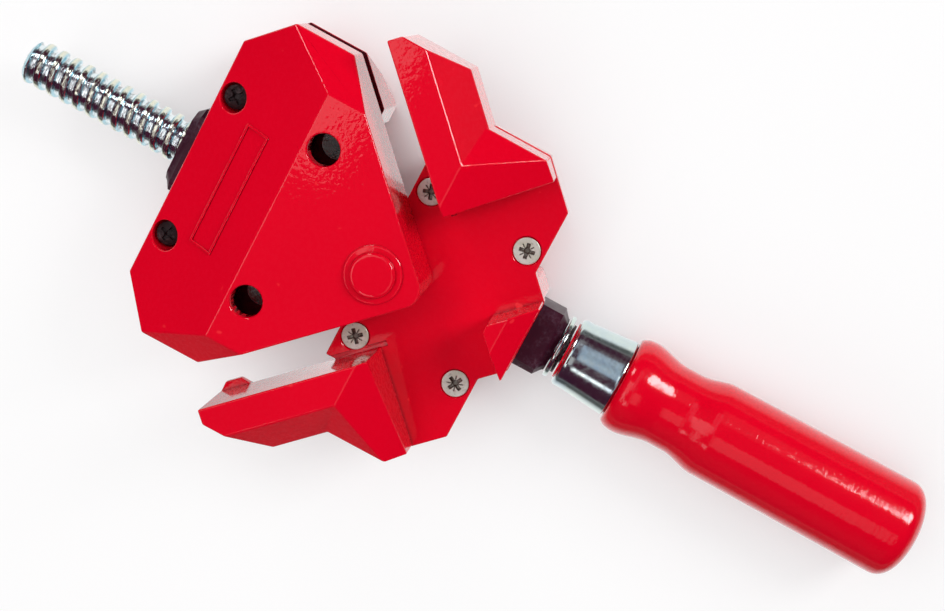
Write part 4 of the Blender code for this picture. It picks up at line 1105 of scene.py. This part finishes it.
# The slit's floor gets the painted shade
paintSlitShade("lowerBlock")
print("castings dressed")
makeSpindle()
makeHandle()
makeTurned("brightFerrule", ferruleShape, 128, "ferrule")
makeWasher("thrustWasher", 21.0, 22.2, 9.3, 96, "thrust_ring")
makeWasher("shoulderWasher", -2.6, -1.3, 7.3, 72, "shoulder_washer")
makeRetainingRing()
for name, x, low, high, body, replaced in (
    ("bushPinTop", 7.5, 21.1, 30.0, "spindle_carrier", "front_pin_upper"),
    ("bushPinLow", 7.5, 2.6, 8.9, "spindle_carrier", "front_pin_lower"),
    ("nutPinTop", -84.0, 22.6, 30.0, "nut", "nut_pin_upper"),
    ("nutPinLow", -84.0, 2.6, 7.4, "nut", "nut_pin_lower"),
):
    makePin(name, x, low, high, body, replaced)
makeBar("frontBush", barShapes["bush"], plainBore, "spindle_carrier", "front_bush")
makeBar("threadedNut", barShapes["nut"], nutThread, "nut", "swivel_nut")
makeScrews("coverScrew", coverScrew, "base_screw")
makeScrews("rearScrew", rearScrew, "block_screw")
print("turned pieces made")


# Studio: a pale floor that glows for the camera. Ambient occlusion cuts the glow where something stands close to
# it and in holes, a painted shadow; there the matt part shows its real shadow

studio = {
    "floorSize": 6.0, "floorDrop": 0.0004, "floorColour": (0.86, 0.86, 0.86, 1.0), "floorGlow": 0.84,
    "contactShadeReach": 0.05, "holeShadeReach": 0.012, "holeShadeFrom": (0.15, 0.42),
    "dim": 0.10, "slant": 0.3, "backFade": (0.070, 0.110), "frontFade": (-0.095, -0.035),
    "worldAbove": (0.055, 0.012, 0.030, 1.0), "worldHorizon": (0.3, 0.3, 0.3, 1.0), "horizonTop": 0.10,
}


def makeFloor():
    s = studio
    reach = s["floorSize"] / 2
    corners = ((-reach, -reach), (reach, -reach), (reach, reach), (-reach, reach))
    mesh = bpy.data.meshes.new("studioFloor")
    mesh.from_pydata([(x, y, -s["floorDrop"]) for x, y in corners], [], [[0, 1, 2, 3]])
    material, tree, shader = startMaterial("studioFloor")
    tree.nodes.remove(shader)
    matt = addNode(tree, "BsdfDiffuse", {"Color": s["floorColour"]})
    ray = addNode(tree, "LightPath").outputs
    # Painted shade: ambient occlusion dims the floor's glow near things and in holes, also where the floor is
    # mirrored
    paintedContactShade = openSky(tree, s["contactShadeReach"], False)
    paintedHoleShade = spread(tree, openSky(tree, s["holeShadeReach"], False), 0.0, 1.0, *s["holeShadeFrom"])
    # Mirrored in the object, the floor is bright close by and dims further out
    place = addNode(tree, "SeparateXYZ", {"Vector": objectPlace(tree)}).outputs
    across = combineValues(tree, combineValues(tree, place["X"], s["slant"]), place["Y"], "ADD")
    back = spread(tree, across, 1.0, s["dim"], *s["backFade"])
    front = spread(tree, place["Y"], s["dim"], 1.0, *s["frontFade"])
    mirrored = combineValues(tree, combineValues(tree, back, front), paintedHoleShade)
    strength = spread(tree, ray["Is Glossy Ray"], 1.0, mirrored)
    glow = addNode(tree, "Emission", {"Color": (1, 1, 1, 1), "Strength": strength})
    # For the camera the glow is cut back by the painted shade, so the matt floor's real shadow shows through
    straight = combineValues(tree, ray["Is Camera Ray"], ray["Is Transmission Ray"], "MAXIMUM")
    straight = combineValues(tree, straight, combineValues(tree, paintedContactShade, s["floorGlow"]))
    straight = combineValues(tree, straight, paintedHoleShade)
    share = combineValues(tree, straight, ray["Is Glossy Ray"], "MAXIMUM")
    mix = addNode(tree, "MixShader", {0: share, 1: matt.outputs[0], 2: glow.outputs[0]})
    tree.links.new(mix.outputs[0], tree.nodes["Material Output"].inputs["Surface"])
    mesh.materials.append(material)
    addToScene("studioFloor", mesh)


def makeWorld():
    world = bpy.data.worlds.new("studioWorld")
    scene.world = world
    world.use_nodes = True
    tree = world.node_tree
    direction = addNode(tree, "TexCoord").outputs["Generated"]
    height = addNode(tree, "SeparateXYZ", {"Vector": direction}).outputs["Z"]
    lit = cloudColour(tree, height, 0.0, studio["horizonTop"], studio["worldHorizon"], studio["worldAbove"])
    forCamera = addNode(tree, "LightPath").outputs["Is Camera Ray"]
    tree.links.new(mixColours(tree, forCamera, lit, (1, 1, 1, 1)), tree.nodes["Background"].inputs["Color"])


# Each lamp's place, size and power, then what it faces, its turn in degrees and its colour
lamps = {
    "keyLamp": ((0.62, 0.84, 0.72), (0.38, 0.50), 10.0),
    "sideLamp": ((0.13, 0.85, 0.72), (0.44, 0.60), 0.12),
    "leftLamp": ((-0.75, 0.65, 0.55), (0.30, 0.30), 2.0),
    "stripLamp": ((0.175, -0.125, 0.62), (0.25, 0.30), 0.12, (0.175, -0.125, 0.0)),
    "cornerLamp": ((-0.275, 0.082, 0.60), (0.34, 0.30), 0.36, (-0.275, 0.082, 0.0), -12.0),
    "ferruleLamp": ((-0.05, 0.40, 0.60), (0.13, 0.76), 0.17, (-0.05, 0.37, 0.0), 0.0, (0.60, 0.80, 1.0)),
    "spindleLamp": ((-0.315, -0.16, 0.60), (0.58, 0.16), 0.55, (-0.315, -0.16, 0.0), 90.0),
    "streakLamp": ((-0.05, -0.36, 0.60), (0.13, 0.13), 0.11, (-0.05, -0.36, 0.0)),
    "fillLamp": ((-0.45, 0.20, 1.25), (1.8, 1.8), 7.6),
    "frontFill": ((-0.10, -1.10, 0.70), (1.4, 0.8), 6.2),
}


def makeLamp(name, place, size, power, target=(0.0, 0.0, 0.02), turn=0.0, colour=(1.0, 1.0, 1.0)):
    data = bpy.data.lights.new(name, "AREA")
    data.shape = "RECTANGLE"
    data.size, data.size_y = size
    data.energy, data.color = power, colour
    lamp = addToScene(name, data)
    lamp.location = place
    aim = Vector(target) - Vector(place)
    face = aim.to_track_quat("-Z", "Y").to_matrix() @ Matrix.Rotation(math.radians(turn), 3, "Z")
    lamp.rotation_euler = face.to_euler()
    lamp.visible_glossy = name not in ("fillLamp", "frontFill")  # the broad fill lights leave no highlight


makeFloor()
makeWorld()
for name, values in lamps.items():
    makeLamp(name, *values)
scene.view_settings.view_transform = "Standard"
print("studio set")
